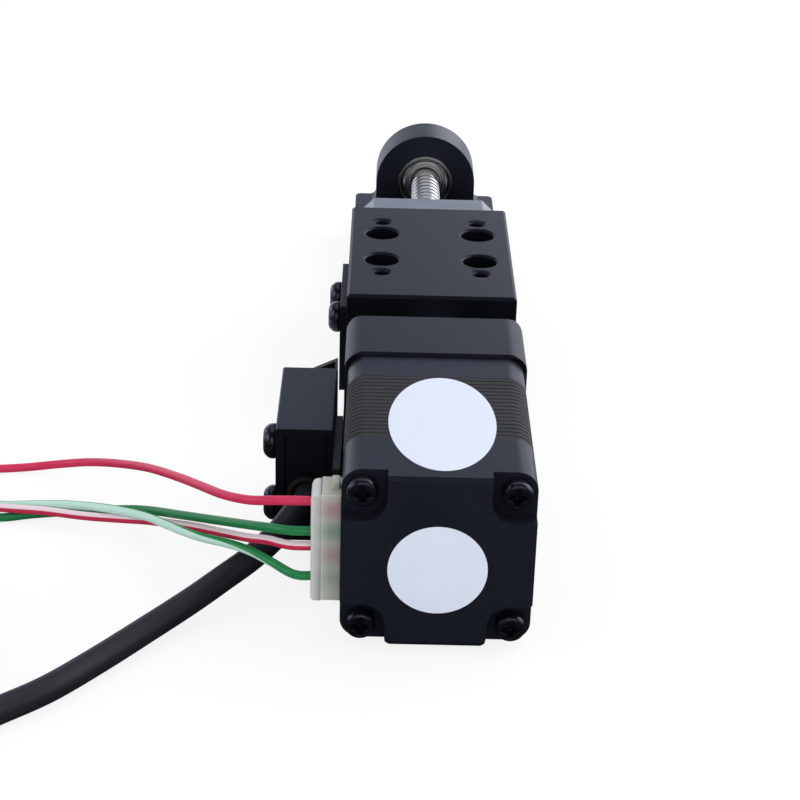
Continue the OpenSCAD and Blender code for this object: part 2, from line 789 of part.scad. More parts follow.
module sensor_body()
    color("#24272c") difference() {
        along_y(sensor_y[0], sensor_y[1])
            translate([(sensor_x[0] + sensor_x[1]) / 2, (sensor_z[0] + sensor_z[1]) / 2])
                rounded(sensor_w, sensor_h, 0.4);
        // chamber for the board, closed by the end plate
        box([sensor_x[0] + 2.2, sensor_x[1] - shell], [sensor_y[0] - over, sensor_y[1] - shell],
            [sensor_z[0] + 6.4, sensor_screw_z[1] - 2]);
        box(panel_x, [sensor_y[0] - over, sensor_y[0] + 1.2], [sensor_z[0] + shell, panel_top]);
        for (z = sensor_screw_z)
            bar_x(m3_r + 0.1, sensor_x[0] - over, sensor_x[1] + over, sensor_screw_y, z);
    }

module sensor_end_plate()
    color("#1a1c20") difference() {
        box([panel_x[0] + 0.1, panel_x[1] - 0.1], [sensor_y[0] + 0.3, sensor_y[0] + 1.2],
            [sensor_z[0] + shell + 0.1, panel_top - 0.1]);
        bar_y(2.3, sensor_y[0] - over, sensor_y[0] + 2, grommet_at[0], grommet_at[1]);
    }

module sensor_grommet()
    color("#26282c") difference() {
        union() {
            bar_y(grommet_r, sensor_y[0] - grommet_lip, sensor_y[0] + 0.3,
                grommet_at[0], grommet_at[1]);
            bar_y(2.3, sensor_y[0], sensor_y[0] + 1.2, grommet_at[0], grommet_at[1]);
        }
        bar_y(cable_d / 2 + 0.05, sensor_y[0] - grommet_lip - over, sensor_y[0],
            grommet_at[0], grommet_at[1]);
    }

module sensor_board()
    color("#1f5a34") box([grommet_at[0] - 0.5, grommet_at[0] + 0.5],
        [sensor_y[0] + 2, sensor_y[1] - 4.2], [sensor_z[0] + 6.4, sensor_screw_z[1] - 2]);

module sensor_coil()
    color("#b87333") difference() {
        bar_y(2, sensor_y[1] - 4.2, sensor_y[1] - shell, grommet_at[0], grommet_at[1]);
        bar_y(0.8, sensor_y[1] - 5, sensor_y[1], grommet_at[0], grommet_at[1]);
    }

module sensor_screws()
    color("#202226") for (z = sensor_screw_z)
        translate([sensor_x[0], sensor_screw_y, z]) rotate([0, -90, 0])
            pan_screw(2.8, 2.1, m3_tap, sensor_w + sheet - 0.1);

module sensor_bracket()
    color("#4a4742") difference() {
        union() {
            along_x(bracket_x0, bracket_x1) polygon([
                [bracket_rear, bracket_z0], [rail_y0, bracket_z0], [rail_y0, bracket_low],
                [bracket_step, bracket_low], [bracket_step, bracket_tall],
                [bracket_rear, bracket_tall]
            ]);
            along_y(rail_y0 - sheet - 0.1, rail_y0 - 0.1) polygon([
                [bracket_x1, bracket_z0], [bracket_x1, bracket_low], [bracket_x0 - 0.15, bracket_low],
                [bracket_x0 - 0.15, flange_top], [bracket_x0 - 0.35, flange_top],
                [bracket_x0 - 4.55, flange_top - 2], [bracket_x0 - 4.55, bracket_z0]
            ]);
            // web from the flange to the sensor's end
            box([bracket_x0 - 0.55, bracket_x0 - 0.15], [sensor_y[1], rail_y0 - sheet],
                [bracket_low, flange_top]);
            box([bracket_x0 - 0.55, bracket_x0 + 0.1], [sensor_y[1], rail_y0 - sheet],
                [bracket_low - 1, bracket_low]);
        }
        for (z = sensor_screw_z)
            bar_x(m3_tap, bracket_x0 - over, bracket_x1 + over, sensor_screw_y, z);
        for (y = bracket_screw_y) {
            bar_x(m25_clear, bracket_x0 - over, bracket_x1 + over, y, bracket_screw_z);
            translate([bracket_x0, y, bracket_screw_z]) rotate([0, 90, 0])
                cylinder(h = 1.1, r1 = 2.35, r2 = m25_tap + 0.15);
        }
    }

module bracket_screws()
    color("#202226") for (y = bracket_screw_y)
        translate([bracket_x0 + 0.05, y, bracket_screw_z]) rotate([0, 90, 0])
            countersunk_screw(2.1, m25_tap, 5.5);

module sensor_flag()
    color("#17191d") difference() {
        along_x(-table_w / 2 - flag_t, -table_w / 2) polygon([
            [flag_y[0], flag_z[0]], [flag_y[1], flag_z[0]], [flag_y[1], flag_z[1] - 0.8],
            [flag_y[1] - 0.8, flag_z[1]], [flag_y[0] + 0.8, flag_z[1]],
            [flag_y[0], flag_z[1] - 0.8]
        ]);
        // relief that keeps it off the rail's side
        box([-table_w / 2 - 0.3, 0], [flag_y[0] - over, flag_y[1] + over],
            [flag_z[0] - over, table_z0 + 0.4]);
        for (y = flag_screw_y)
            bar_x(m3_clear, -table_w / 2 - flag_t - over, over - table_w / 2, y, flag_screw_z);
    }

module flag_screws()
    color("#202226") for (y = flag_screw_y)
        translate([-table_w / 2 - flag_t, y, flag_screw_z]) rotate([0, -90, 0])
            pan_screw(2.85, 2.2, m3_tap, flag_t + 4);

// ---------- motor connector ----------

pin_pitch = 2.5;
pins = [-2.5, -1.5, -0.5, 0.5, 1.5, 2.5];
wired = [2.5, 0.5, -0.5, -2.5];
header_y = [motor_y0 + 3.9, motor_y0 + 9.7];
header_half = 8.8;
header_x = -motor_half - 2.9;
plug_x = header_x - 1.5;
socket_depth = 0.8;
pin_y = (header_y[0] + header_y[1]) / 2;

module connector_header()
    color("#d8dcd4") difference() {
        union() {
            box([header_x, -motor_half], header_y, [axis_h - header_half, axis_h + header_half]);
            // latch lug on the upper end
            box([-motor_half - 1.4, -motor_half - 0.3], [pin_y - 1, pin_y + 1],
                [axis_h + header_half - 0.1, axis_h + header_half + 1.3]);
        }
        box([header_x - over, -motor_half - 0.8], [header_y[0] + 0.8, header_y[1] - 0.8],
            [axis_h - header_half + 0.8, axis_h + header_half - 0.8]);
        for (p = pins) box([-motor_half - over, -motor_half + over], [pin_y - 0.3, pin_y + 0.3],
            [axis_h + p * pin_pitch - 0.3, axis_h + p * pin_pitch + 0.3]);
    }

module connector_plug()
    color("#e4e8e0") difference() {
        union() {
            box([plug_x, header_x], [header_y[0] + 0.3, header_y[1] - 0.3],
                [axis_h - header_half + 0.3, axis_h + header_half - 0.3]);
            box([header_x - 0.1, -motor_half - 0.9], [header_y[0] + 0.9, header_y[1] - 0.9],
                [axis_h - header_half + 0.9, axis_h + header_half - 0.9]);
        }
        for (p = pins) translate([0, pin_y, axis_h + p * pin_pitch]) {
            box([plug_x - over, plug_x + socket_depth], [-0.75, 0.75], [-0.75, 0.75]);
            box([plug_x, -motor_half], [-0.45, 0.45], [-0.45, 0.45]);
        }
    }

module connector_terminals()
    color("gold") {
        for (p = pins) box([-motor_half - 3, -motor_half + 3.6], [pin_y - 0.3, pin_y + 0.3],
            [axis_h + p * pin_pitch - 0.3, axis_h + p * pin_pitch + 0.3]);
        for (p = wired) box([plug_x + socket_depth, -motor_half - 1.2],
            [pin_y - 0.45, pin_y + 0.45],
            [axis_h + p * pin_pitch - 0.45, axis_h + p * pin_pitch + 0.45]);
    }

// ---------- cords ----------

lead_start = plug_x + socket_depth;
lead_z = [for (p = wired) axis_h + p * pin_pitch];
tie_t = 0.4;

// Sensor cable: out of the grommet, down to the ground and round to its coil
cable_route = [
    [grommet_at[0], sensor_y[0], grommet_at[1]], [grommet_at[0], sensor_y[0] - 2.4, grommet_at[1]],
    [-21.4, -88.8, 10.3], [-24, -92.2, 8.3], [-27.6, -95.6, 6.1], [-31.7, -99.2, 4.5],
    [-36.5, -104.4, 3.3], [-42.5, -111.4, 2.5], [-48.2, -118.5, 2.1], [-54.2, -125.8, 2],
    [-60.2, -131.3, 2], [-65.6, -136.1, 2.1], [-70.2, -140.4, 2.3], [-74.35, -144.35, 2.4]
];
// Motor leads, in the order of their places in the plug
red_route = [
    [lead_start, pin_y, lead_z[0]], [-21.6, pin_y, lead_z[0]], [-24.6, -104.4, 20.9],
    [-27.6, -102.8, 20], [-31.6, -98.4, 18.3], [-36, -91.4, 16], [-39.8, -85, 13.8],
    [-45.5, -75.6, 10.2], [-51.3, -68, 6.8], [-57.1, -62.5, 4], [-62.7, -59.7, 2],
    [-67.8, -59.1, 1], [-72.8, -59.6, 0.8], [-78, -61.2, 1.4], [-83.5, -64.2, 3.2],
    [-89.5, -67.1, 5.2], [-95.5, -69.8, 5.5]
];
green_route = [
    [lead_start, pin_y, lead_z[1]], [-21.4, pin_y, lead_z[1]], [-24.8, -102.7, 15.4],
    [-27.8, -99.5, 13.9], [-32, -93.9, 11.2], [-36.3, -88.6, 8.7], [-40, -84.1, 6.6],
    [-45.5, -77.3, 3.4], [-49.5, -74.3, 1.8], [-55, -73.2, 0.8],
    [-60.9, -73.9, 0.7], [-65.3, -74.8, 0.7], [-70, -76, 0.7], [-75.5, -75.4, 0.8],
    [-80, -72.9, 0.9], [-84.7, -69.9, 1.1], [-90, -68.5, 1.1]
];
red_white_route = [
    [lead_start, pin_y, lead_z[2]], [-21.4, pin_y, lead_z[2]], [-24.7, -102, 12.8],
    [-27.9, -98.5, 11.1], [-32.1, -93.1, 8.7], [-36.4, -88.4, 6.8], [-40, -84.8, 5.2],
    [-45, -81.5, 3.9], [-50, -79.5, 3], [-56, -78, 2.5],
    [-63, -76.1, 2.2], [-70, -75.4, 2.2], [-75.5, -74.6, 2.3], [-80.2, -72.5, 2.5],
    [-84.8, -69.9, 2.6], [-90, -68.5, 2.6]
];
green_white_route = [
    [lead_start, pin_y, lead_z[3]], [-20.8, pin_y, lead_z[3]], [-24.7, -101.4, 8.9],
    [-27.9, -99, 9.2], [-31.4, -96.5, 8.9], [-35.6, -93.5, 8.1], [-39.3, -89.9, 7.2],
    [-44.5, -84.1, 5.9], [-48.2, -80.9, 5], [-51.7, -78.5, 4.2],
    [-55.6, -76.4, 3.4], [-60.4, -74.6, 2.6], [-65.6, -73, 1.5], [-70.4, -72.4, 1],
    [-75.5, -72.2, 1.8], [-80.2, -70.7, 3.2], [-84.8, -69, 4.1], [-90, -68.5, 4.1]
];
// Coils, wound flat on the ground and tied
cable_coil_at = [-95, -123.7];
cable_coil_r = [14.9, 31.2];
lead_coil_at = [-90, -80];
lead_coil_r = [4.1, 12.3];
lead_layer = 1.45;
cable_layer = 4.05;

function unit(v) = v / norm(v);
function heading(p, i) = unit(p[min(i + 1, len(p) - 1)] - p[max(i - 1, 0)]);
function ring_at(c, d, r, n) =
    let (side = unit(cross(d, [0, 0, 1])), up = cross(side, d))
    [for (k = [0:n - 1]) c + r * (cos(360 * k / n) * side + sin(360 * k / n) * up)];

// A tube with one ring of points at each point of the route
module tube(route, d, n) {
    last = len(route) - 1;
    points = [for (i = [0:last]) each ring_at(route[i], heading(route, i), d / 2, n)];
    walls = [
        for (i = [0:last - 1], k = [0:n - 1])
            let (a = i * n + k, b = i * n + (k + 1) % n) each [[a, b, b + n], [a, b + n, a + n]]
    ];
    ends = [[for (k = [n - 1:-1:0]) k], [for (k = [0:n - 1]) last * n + k]];
    polyhedron(points, concat(walls, ends), convexity = 8);
}

// Closed solid of the outer shape of a flat coil
module coil_ring(at, r, height)
    translate([at[0], at[1], tie_t]) difference() {
        cylinder(h = height, r = r[1]);
        translate([0, 0, -over]) cylinder(h = height + 2 * over, r = r[0]);
    }

// A band round a coil's section, at one angle of the coil
module coil_tie(at, r, height, angle, width)
    translate([at[0], at[1], 0]) rotate(angle) difference() {
        box([r[0] - tie_t, r[1] + tie_t], [-width / 2, width / 2], [0, height + 2 * tie_t]);
        box([r[0], r[1]], [-width, width], [tie_t, tie_t + height]);
    }

module sensor_cable() color("#2a2d37") tube(cable_route, cable_d, 12);
module lead_red() color("#cd2d55") tube(red_route, lead_d, 8);
module lead_green() color("#1e8c4b") tube(green_route, lead_d, 8);
module lead_red_white() color("#ebd7df") tube(red_white_route, lead_d, 8);
module lead_green_white() color("#aae1cd") tube(green_white_route, lead_d, 8);

// The outer turn of the upper layer stops where the cable's end lies
cores_angle = -135;
module cable_coil()
    color("#2a2d37") difference() {
        coil_ring(cable_coil_at, cable_coil_r, 2 * cable_layer);
        translate([cable_coil_at[0], cable_coil_at[1], 0]) rotate(cores_angle)
            box([cable_coil_r[1] - cable_layer, cable_coil_r[1] + over], [-10, 10],
                [tie_t + cable_layer, 12]);
    }

module cable_cores()
    color("saddlebrown") translate([cable_coil_at[0], cable_coil_at[1], 0]) rotate(cores_angle)
        for (k = [0:2])
            translate([cable_coil_r[1] - cable_layer + 0.8 + 1.1 * k, -10, tie_t + cable_layer + 0.5])
                rotate([-90, 0, 0]) cylinder(h = 14, r = 0.5);

module lead_coil() color("#7a3b4a") coil_ring(lead_coil_at, lead_coil_r, 4 * lead_layer);

module lead_tips()
    color("silver") for (k = [0:3])
        translate([lead_coil_at[0], lead_coil_at[1], tie_t + (k + 0.5) * lead_layer])
            rotate(90 * k) translate([2.9, 2.9, 0]) rotate([0, -90, 0])
                cylinder(h = 4, r = 0.4);

module cord_ties()
    color("#303238") {
        coil_tie(cable_coil_at, cable_coil_r, 2 * cable_layer, 60, 3);
        coil_tie(lead_coil_at, lead_coil_r, 4 * lead_layer, 205, 1.6);
    }

// ---------- what is drawn ----------

base_rail();
rail_screws();
bearing_housing();
housing_screws();
far_support();
motor_rear_cover();
stator_core();
motor_windings();
motor_front_bell();
motor_through_screws();
shaft_bearing_outers();
bearing_balls();
wave_washer();
bearing_retainer();
screw_seal();
far_bearing_outer();
far_bearing_shields();
connector_header();
connector_plug();
connector_terminals();
sensor_body();
sensor_end_plate();
sensor_grommet();
sensor_board();
sensor_coil();
sensor_screws();
sensor_bracket();
bracket_screws();
sensor_cable();
cable_coil();
cable_cores();
cord_ties();
lead_red();
lead_green();
lead_red_white();
lead_green_white();
lead_coil();
lead_tips();
table();
table_screws();
runner_block();
runner_end_caps();
runner_seals();
end_cap_screws();
guide_balls();
ball_nut();
nut_balls();
nut_wipers();
nut_bracket();
nut_bracket_screws();
sensor_flag();
flag_screws();
screw_shaft();
rotor_stacks();
rotor_magnet();
rotor_spacers();
shaft_bearing_inners();
lock_nut();
far_bearing_inner();
snap_ring();
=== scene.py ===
"""Ball screw linear module: finishes, thread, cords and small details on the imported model."""

import math

import bmesh
import bpy
from mathutils import Matrix, Vector


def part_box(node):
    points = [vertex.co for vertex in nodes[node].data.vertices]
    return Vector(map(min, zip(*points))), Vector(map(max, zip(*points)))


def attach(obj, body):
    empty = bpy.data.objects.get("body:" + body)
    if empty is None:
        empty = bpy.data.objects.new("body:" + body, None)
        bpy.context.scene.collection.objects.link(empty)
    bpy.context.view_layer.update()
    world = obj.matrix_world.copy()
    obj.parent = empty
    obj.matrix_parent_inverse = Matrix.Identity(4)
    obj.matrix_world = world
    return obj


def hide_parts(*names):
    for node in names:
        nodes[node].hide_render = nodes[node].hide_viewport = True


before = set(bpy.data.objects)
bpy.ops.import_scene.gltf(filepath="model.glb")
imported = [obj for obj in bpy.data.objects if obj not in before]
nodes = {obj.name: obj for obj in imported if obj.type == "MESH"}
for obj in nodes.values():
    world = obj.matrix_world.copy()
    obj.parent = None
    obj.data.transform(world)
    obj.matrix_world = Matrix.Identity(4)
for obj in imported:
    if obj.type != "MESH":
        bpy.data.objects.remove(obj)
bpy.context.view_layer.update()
scene = bpy.context.scene
scene.view_settings.view_transform = "Standard"

# ---------- Camera ----------
# A long lens behind the motor, a little to its left, looking down the screw.
# Its place and its turns are in the part's own frame.
MM = 0.001


def placed(name, data):
    """A new object of the scene with that data."""
    piece = bpy.data.objects.new(name, data)
    scene.collection.objects.link(piece)
    return piece


camera_at = Vector((-9.18, -354.88, 160.97)) * MM
look_down, look_right, roll = 0.4576, 0.0127, -0.029
forward = Vector((math.sin(look_right) * math.cos(look_down),
                  math.cos(look_right) * math.cos(look_down), -math.sin(look_down)))
level = Vector((math.cos(look_right), -math.sin(look_right), 0))
below = forward.cross(level)
right = math.cos(roll) * level + math.sin(roll) * below
down = math.cos(roll) * below - math.sin(roll) * level
lens = bpy.data.cameras.new("camera")
lens.sensor_width = 36
lens.lens = 88.875
lens.clip_start, lens.clip_end = 0.01, 20
camera = placed("camera", lens)
camera.matrix_world = Matrix.Translation(camera_at) @ Matrix(
    (right, -down, -forward)).transposed().to_4x4()
scene.camera = camera

# ---------- Cords: materials ----------
# The sensor's round cable has a matt black jacket, and the motor's four leads are
# stranded wire in bright plastic insulation, two of them with a second colour as a stripe.


def linear(hex_code):
    """An sRGB hex colour as the linear colour that a shader takes."""
    parts = [int(hex_code[i:i + 2], 16) / 255 for i in (1, 3, 5)]
    return tuple(v / 12.92 if v <= 0.04045 else ((v + 0.055) / 1.055) ** 2.4
                 for v in parts) + (1.0,)


def add_node(tree, kind, inputs=(), **settings):
    """One node with its settings. An input is a value, or the output that feeds it."""
    node = tree.nodes.new(kind)
    for key, value in settings.items():
        setattr(node, key, value)
    for key, value in dict(inputs).items():
        if isinstance(value, bpy.types.NodeSocket):
            tree.links.new(value, node.inputs[key])
        else:
            node.inputs[key].default_value = value
    return node


def maths(tree, operation, *values):
    """The result of a math node on those values or outputs."""
    return add_node(tree, "ShaderNodeMath", dict(enumerate(values)),
                    operation=operation).outputs[0]


def blend(tree, share, first, second):
    """The colour that far from the first to the second, each an output or a hex colour."""
    first, second = (linear(c) if isinstance(c, str) else c for c in (first, second))
    return add_node(tree, "ShaderNodeMix", {0: share, 6: first, 7: second},
                    data_type="RGBA").outputs[2]


def finish(name, light, dark, grain, rough, spread=0.06, metallic=0.0, bump=0.0,
           stretch=(1, 1, 1), colour=None, **shader):
    """A surface whose colour and gloss vary between two tones with a grain of that size
    in millimetres. Where the two tones are None, colour(tree, place, grain) gives the colour."""
    made = bpy.data.materials.new(name)
    made.use_nodes = True
    tree = made.node_tree
    tree.nodes.clear()
    place = add_node(tree, "ShaderNodeTexCoord").outputs["Object"]
    turned = add_node(tree, "ShaderNodeMapping", {"Vector": place, "Scale": stretch})
    fine = add_node(tree, "ShaderNodeTexNoise", {
        "Vector": turned.outputs[0], "Scale": 1000 / grain, "Detail": 3.0,
        "Roughness": 0.6}).outputs[0]
    broad = add_node(tree, "ShaderNodeTexNoise", {
        "Vector": place, "Scale": 40 / grain, "Detail": 2.0}).outputs[0]
    tone = add_node(tree, "ShaderNodeMapRange", {
        "Value": maths(tree, "MULTIPLY", fine, broad), "From Min": 0.12,
        "From Max": 0.42}).outputs[0]
    tint = colour(tree, place, tone) if colour else blend(tree, tone, dark, light)
    gloss = add_node(tree, "ShaderNodeMapRange", {
        "Value": fine, "From Min": 0.3, "From Max": 0.7,
        "To Min": max(0.02, rough - spread), "To Max": rough + spread}).outputs[0]
    inputs = {"Base Color": tint, "Roughness": gloss, "Metallic": metallic}
    inputs.update(shader)
    if bump:
        inputs["Normal"] = add_node(tree, "ShaderNodeBump", {
            "Height": fine, "Strength": 1.0, "Distance": bump * MM}).outputs[0]
    bsdf = add_node(tree, "ShaderNodeBsdfPrincipled", inputs)
    add_node(tree, "ShaderNodeOutputMaterial", {"Surface": bsdf.outputs[0]})
    return made


def stripe(base, second, share):
    """Colour of an insulation with a stripe: the mesh says how far up each point faces."""
    def colour(tree, place, grain):
        up = add_node(tree, "ShaderNodeAttribute", attribute_name="up").outputs["Fac"]
        edge = add_node(tree, "ShaderNodeMapRange", {
            "Value": up, "From Min": share - 0.05, "From Max": share + 0.05}).outputs[0]
        return blend(tree, edge, base, second)
    return colour


# Matt PVC: extruded, with a fine grain and a low gloss
cable_jacket = finish("matt_black_pvc_jacket", "#20232c", "#171920", 0.5, 0.42, bump=0.004,
                      **{"Specular IOR Level": 0.35})
# PVC insulation: smooth and saturated, with a soft highlight
red_insulation = finish("red_wire_insulation", "#dd2a5c", "#cb2150", 1.2, 0.38,
                        **{"Subsurface Weight": 0.08, "Subsurface Scale": 0.0005})
green_insulation = finish("green_wire_insulation", "#12884c", "#0c7840", 1.2, 0.38,
                          **{"Subsurface Weight": 0.08, "Subsurface Scale": 0.0005})
red_white_insulation = finish("pink_white_wire_with_red_stripe", None, None, 1.2, 0.38,
                              colour=stripe("#c81f49", "#efd9e3", 0.1))
green_white_insulation = finish("mint_wire_with_green_stripe", None, None, 1.2, 0.38,
                                colour=stripe("#c2e9dd", "#128848", 0.3))

# ---------- Cords: shapes ----------
# Each cord is one tube on a smooth line: its free part as it leaves the object, and what
# is not in view wound flat in layers on the ground, the way a new unit's cords are packed.


def through(points, step):
    """A smooth line through the points, one point about every step."""
    line = []
    for i in range(len(points) - 1):
        a, b = points[max(i - 1, 0)], points[i]
        c, d = points[i + 1], points[min(i + 2, len(points) - 1)]
        parts = max(1, round((c - b).length / step))
        for k in range(parts):
            t = k / parts
            line.append(0.5 * ((2 * b) + (c - a) * t + (2 * a - 5 * b + 4 * c - d) * t ** 2
                               + (3 * b - a - 3 * c + d) * t ** 3))
    return line + [points[-1]]


def cord_tube(name, line, diameter, sides, twist):
    """A closed tube round the line. Attribute up is 1 along its top and -1 below, and the
    mark turns by twist(share of the way) radians about the cord."""
    n = len(line)
    heading = [(line[min(i + 1, n - 1)] - line[max(i - 1, 0)]).normalized() for i in range(n)]
    over = (Vector((0, 0, 1)) - heading[0] * heading[0].z).normalized()
    points, ups = [], []
    for i in range(n):
        over = (over - heading[i] * over.dot(heading[i])).normalized()
        side = heading[i].cross(over)
        turn = twist(i / (n - 1))
        for k in range(sides):
            a = 2 * math.pi * k / sides
            points.append(line[i] + diameter / 2 * (math.cos(a) * over + math.sin(a) * side))
            ups.append(math.cos(a - turn))
    faces = [(i * sides + k, i * sides + (k + 1) % sides,
              (i + 1) * sides + (k + 1) % sides, (i + 1) * sides + k)
             for i in range(n - 1) for k in range(sides)]
    faces += [tuple(range(sides - 1, -1, -1)), tuple(range((n - 1) * sides, n * sides))]
    mesh = bpy.data.meshes.new(name)
    mesh.from_pydata(points, [], faces)
    mesh.attributes.new("up", "FLOAT", "POINT").data.foreach_set("value", ups)
    for face in mesh.polygons:
        face.use_smooth = len(face.vertices) == 4
    return placed(name, mesh)


def spiral(middle, r0, r1, angle, turns, height, clockwise=False):
    """Points of a flat spiral, 24 to a turn, from radius r0 at that angle to r1."""
    count = round(24 * abs(turns))
    points = []
    for k in range(1, count + 1):
        share = k / count
        a = math.radians(angle) + (-1 if clockwise else 1) * 2 * math.pi * turns * share
        r = r0 + (r1 - r0) * share
        points.append(Vector((middle[0] + r * math.cos(a), middle[1] + r * math.sin(a),
                              height(share))))
    return points


jacket_d = 4.0
cable_route = [
    (-19.95, -84.2, 11.2), (-19.95, -86.6, 11.2), (-21.4, -88.8, 10.3), (-24, -92.2, 8.3),
    (-27.6, -95.6, 6.1), (-31.7, -99.2, 4.5), (-36.5, -104.4, 3.3), (-42.5, -111.4, 2.5),
    (-48.2, -118.5, 2.1), (-54.2, -125.8, 2.0), (-60.2, -131.3, 2.0), (-65.6, -136.1, 2.1),
    (-70.2, -140.4, 2.3), (-74.35, -144.35, 2.4)]
# The coil: three turns inward on the ground, a step up, and three turns out on top of them
cable_middle = (-95.0, -123.7)
coil_outer, coil_inner = 29.2, 16.9
lower, upper = 2.4, 6.45
step_turn = 80 / 360
cable_points = [Vector(p) for p in cable_route]
cable_points += spiral(cable_middle, coil_outer, coil_inner, -45, 3, lambda s: lower, True)
cable_points += spiral(cable_middle, coil_inner, coil_inner, -45, step_turn,
                       lambda s: lower + (upper - lower) * s * s * (3 - 2 * s), True)
for share, point in zip((0.2, 0.4, 0.6, 0.8), cable_points[-5:-1]):
    inward = (Vector((*cable_middle, 0)) - Vector((point.x, point.y, 0))).normalized()
    point += inward * 0.35 * math.sin(math.pi * share)
cable_points += spiral(cable_middle, coil_inner, coil_outer, -125, 3 + 2 / 360,
                       lambda s: upper, True)
cable_line = [p * MM for p in through(cable_points, 1.3)]
cable = cord_tube("sensor_cable_run", cable_line, jacket_d * MM, 20, lambda s: 0)
cable.data.materials.append(cable_jacket)

insulation_d = 1.4
lead_middle = (-90.0, -80.0)
loop_outer, loop_inner, end_bend = 11.5, 4.8, 2.8
first_layer, layer = 1.125, 1.45
lead_routes = {
    "lead_green": [
        (-17.6, -104.9, 16.25), (-21.4, -104.9, 16.25), (-24.8, -102.7, 15.4),
        (-27.8, -99.5, 13.9), (-32, -93.9, 11.2), (-36.3, -88.6, 8.7), (-40, -84.1, 6.6),
        (-45.5, -77.3, 3.4), (-49.5, -74.3, 1.8), (-55, -73.2, 0.8), (-60.9, -73.9, 0.7),
        (-65.3, -74.8, 0.7), (-70, -76, 0.7), (-75.5, -75.4, 0.8), (-80, -72.9, 0.9),
        (-84.7, -69.9, 1.1)],
    "lead_red_white": [
        (-17.6, -104.9, 13.75), (-21.4, -104.9, 13.75), (-24.7, -102, 12.8),
        (-27.9, -98.5, 11.1), (-32.1, -93.1, 8.7), (-36.4, -88.4, 6.8), (-40, -84.8, 5.2),
        (-45, -81.5, 3.9), (-50, -79.5, 3), (-56, -78, 2.5), (-63, -76.1, 2.2),
        (-70, -75.4, 2.2), (-75.5, -74.6, 2.3), (-80.2, -72.5, 2.5), (-84.8, -69.9, 2.6)],
    "lead_green_white": [
        (-17.6, -104.9, 8.75), (-20.8, -104.9, 8.75), (-24.7, -101.4, 8.9),
        (-27.9, -99, 9.2), (-31.4, -96.5, 8.9), (-35.6, -93.5, 8.1), (-39.3, -89.9, 7.2),
        (-44.5, -84.1, 5.9), (-48.2, -80.9, 5), (-51.7, -78.5, 4.2), (-55.6, -76.4, 3.4),
        (-60.4, -74.6, 2.6), (-65.6, -73, 1.5), (-70.4, -72.4, 1), (-75.5, -72.2, 1.8),
        (-80.2, -70.7, 3.2), (-84.8, -69, 4.1)],
    "lead_red": [
        (-17.6, -104.9, 21.25), (-21.6, -104.9, 21.25), (-24.6, -104.4, 20.9),
        (-27.6, -102.8, 20), (-31.6, -98.4, 18.3), (-36, -91.4, 16), (-39.8, -85, 13.8),
        (-45.5, -75.6, 10.2), (-51.3, -68, 6.8), (-57.1, -62.5, 4), (-62.7, -59.7, 2),
        (-67.8, -59.1, 1), (-72.8, -59.6, 0.8), (-78, -61.2, 1.4), (-83.5, -64.2, 3.2),
        (-89.5, -67.1, 5.2)],
}
lead_finish = {"lead_green": green_insulation, "lead_red_white": red_white_insulation,
               "lead_green_white": green_white_insulation, "lead_red": red_insulation}
lead_twist = {"lead_green": lambda s: 0, "lead_red": lambda s: 0,
              "lead_red_white": lambda s: 0.35,
              "lead_green_white": lambda s: min(24 * s - 1.1, 1.2)}
# Each lead has a layer of its own in the small coil, and they end a quarter turn apart
for k, (name, route) in enumerate(lead_routes.items()):
    z = first_layer + k * layer
    start = 120 if name == "lead_red" else 90
    turns = ((4 + 90 * k - start) % 360) / 360 + (4 if k in (1, 2) else 3)
    points = [Vector(p) for p in route]
    points.append(Vector((lead_middle[0] + loop_outer * math.cos(math.radians(start)),
                          lead_middle[1] + loop_outer * math.sin(math.radians(start)), z)))
    points += spiral(lead_middle, loop_outer, loop_inner, start, turns, lambda s: z)
    quarter = Matrix.Rotation(math.radians(90 * k), 2)
    for bend in range(1, 7):
        a = math.radians(94 + 86 * bend / 6)
        at = quarter @ Vector((2.0 + end_bend * math.sin(a), 0.1 - end_bend * math.cos(a)))
        points.append(Vector((lead_middle[0] + at.x, lead_middle[1] + at.y, z)))
    line = [p * MM for p in through(points, 0.8)]
    lead = cord_tube(name + "_wire", line, insulation_d * MM, 14, lead_twist[name])
    lead.data.materials.append(lead_finish[name])
    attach(lead, "root")
    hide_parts(*([name, "lead_coil"] if k == 0 else [name]))

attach(cable, "root")
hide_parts("sensor_cable", "cable_coil")


def dress(name, material):
    """Gives a CAD node its finish."""
    for place in nodes[name].material_slots:
        place.material = material


def core_colours(tree, place, grain):
    """Brown, blue and black cores side by side: the colour goes by the distance from the
    coil's middle."""
    middle = tuple(v * MM for v in (*cable_middle, 0))
    gap = add_node(tree, "ShaderNodeVectorMath", {0: place, 1: middle}, operation="SUBTRACT")
    outward = add_node(tree, "ShaderNodeVectorMath", {
        0: gap.outputs[0], 1: (-math.sqrt(0.5), -math.sqrt(0.5), 0)},
        operation="DOT_PRODUCT").outputs["Value"]
    past_brown = maths(tree, "GREATER_THAN", outward, 28.5 * MM)
    past_blue = maths(tree, "GREATER_THAN", outward, 29.6 * MM)
    return blend(tree, past_blue, blend(tree, past_brown, "#6b3d22", "#2a58a8"), "#1a1b1e")


dress("cable_cores", finish("cable_core_insulation", None, None, 1.0, 0.4,
                            colour=core_colours))
# Tinned copper strand: soft metal with a fine lay along the wire
tin_plate = finish("tinned_copper", "#d9d6cc", "#b7b3a8", 0.15, 0.3, metallic=1.0, bump=0.004)
dress("lead_tips", tin_plate)
# Nylon cable tie: moulded, dull
dress("cord_ties", finish("black_nylon_tie", "#2d2f35", "#222429", 0.4, 0.5, bump=0.003))

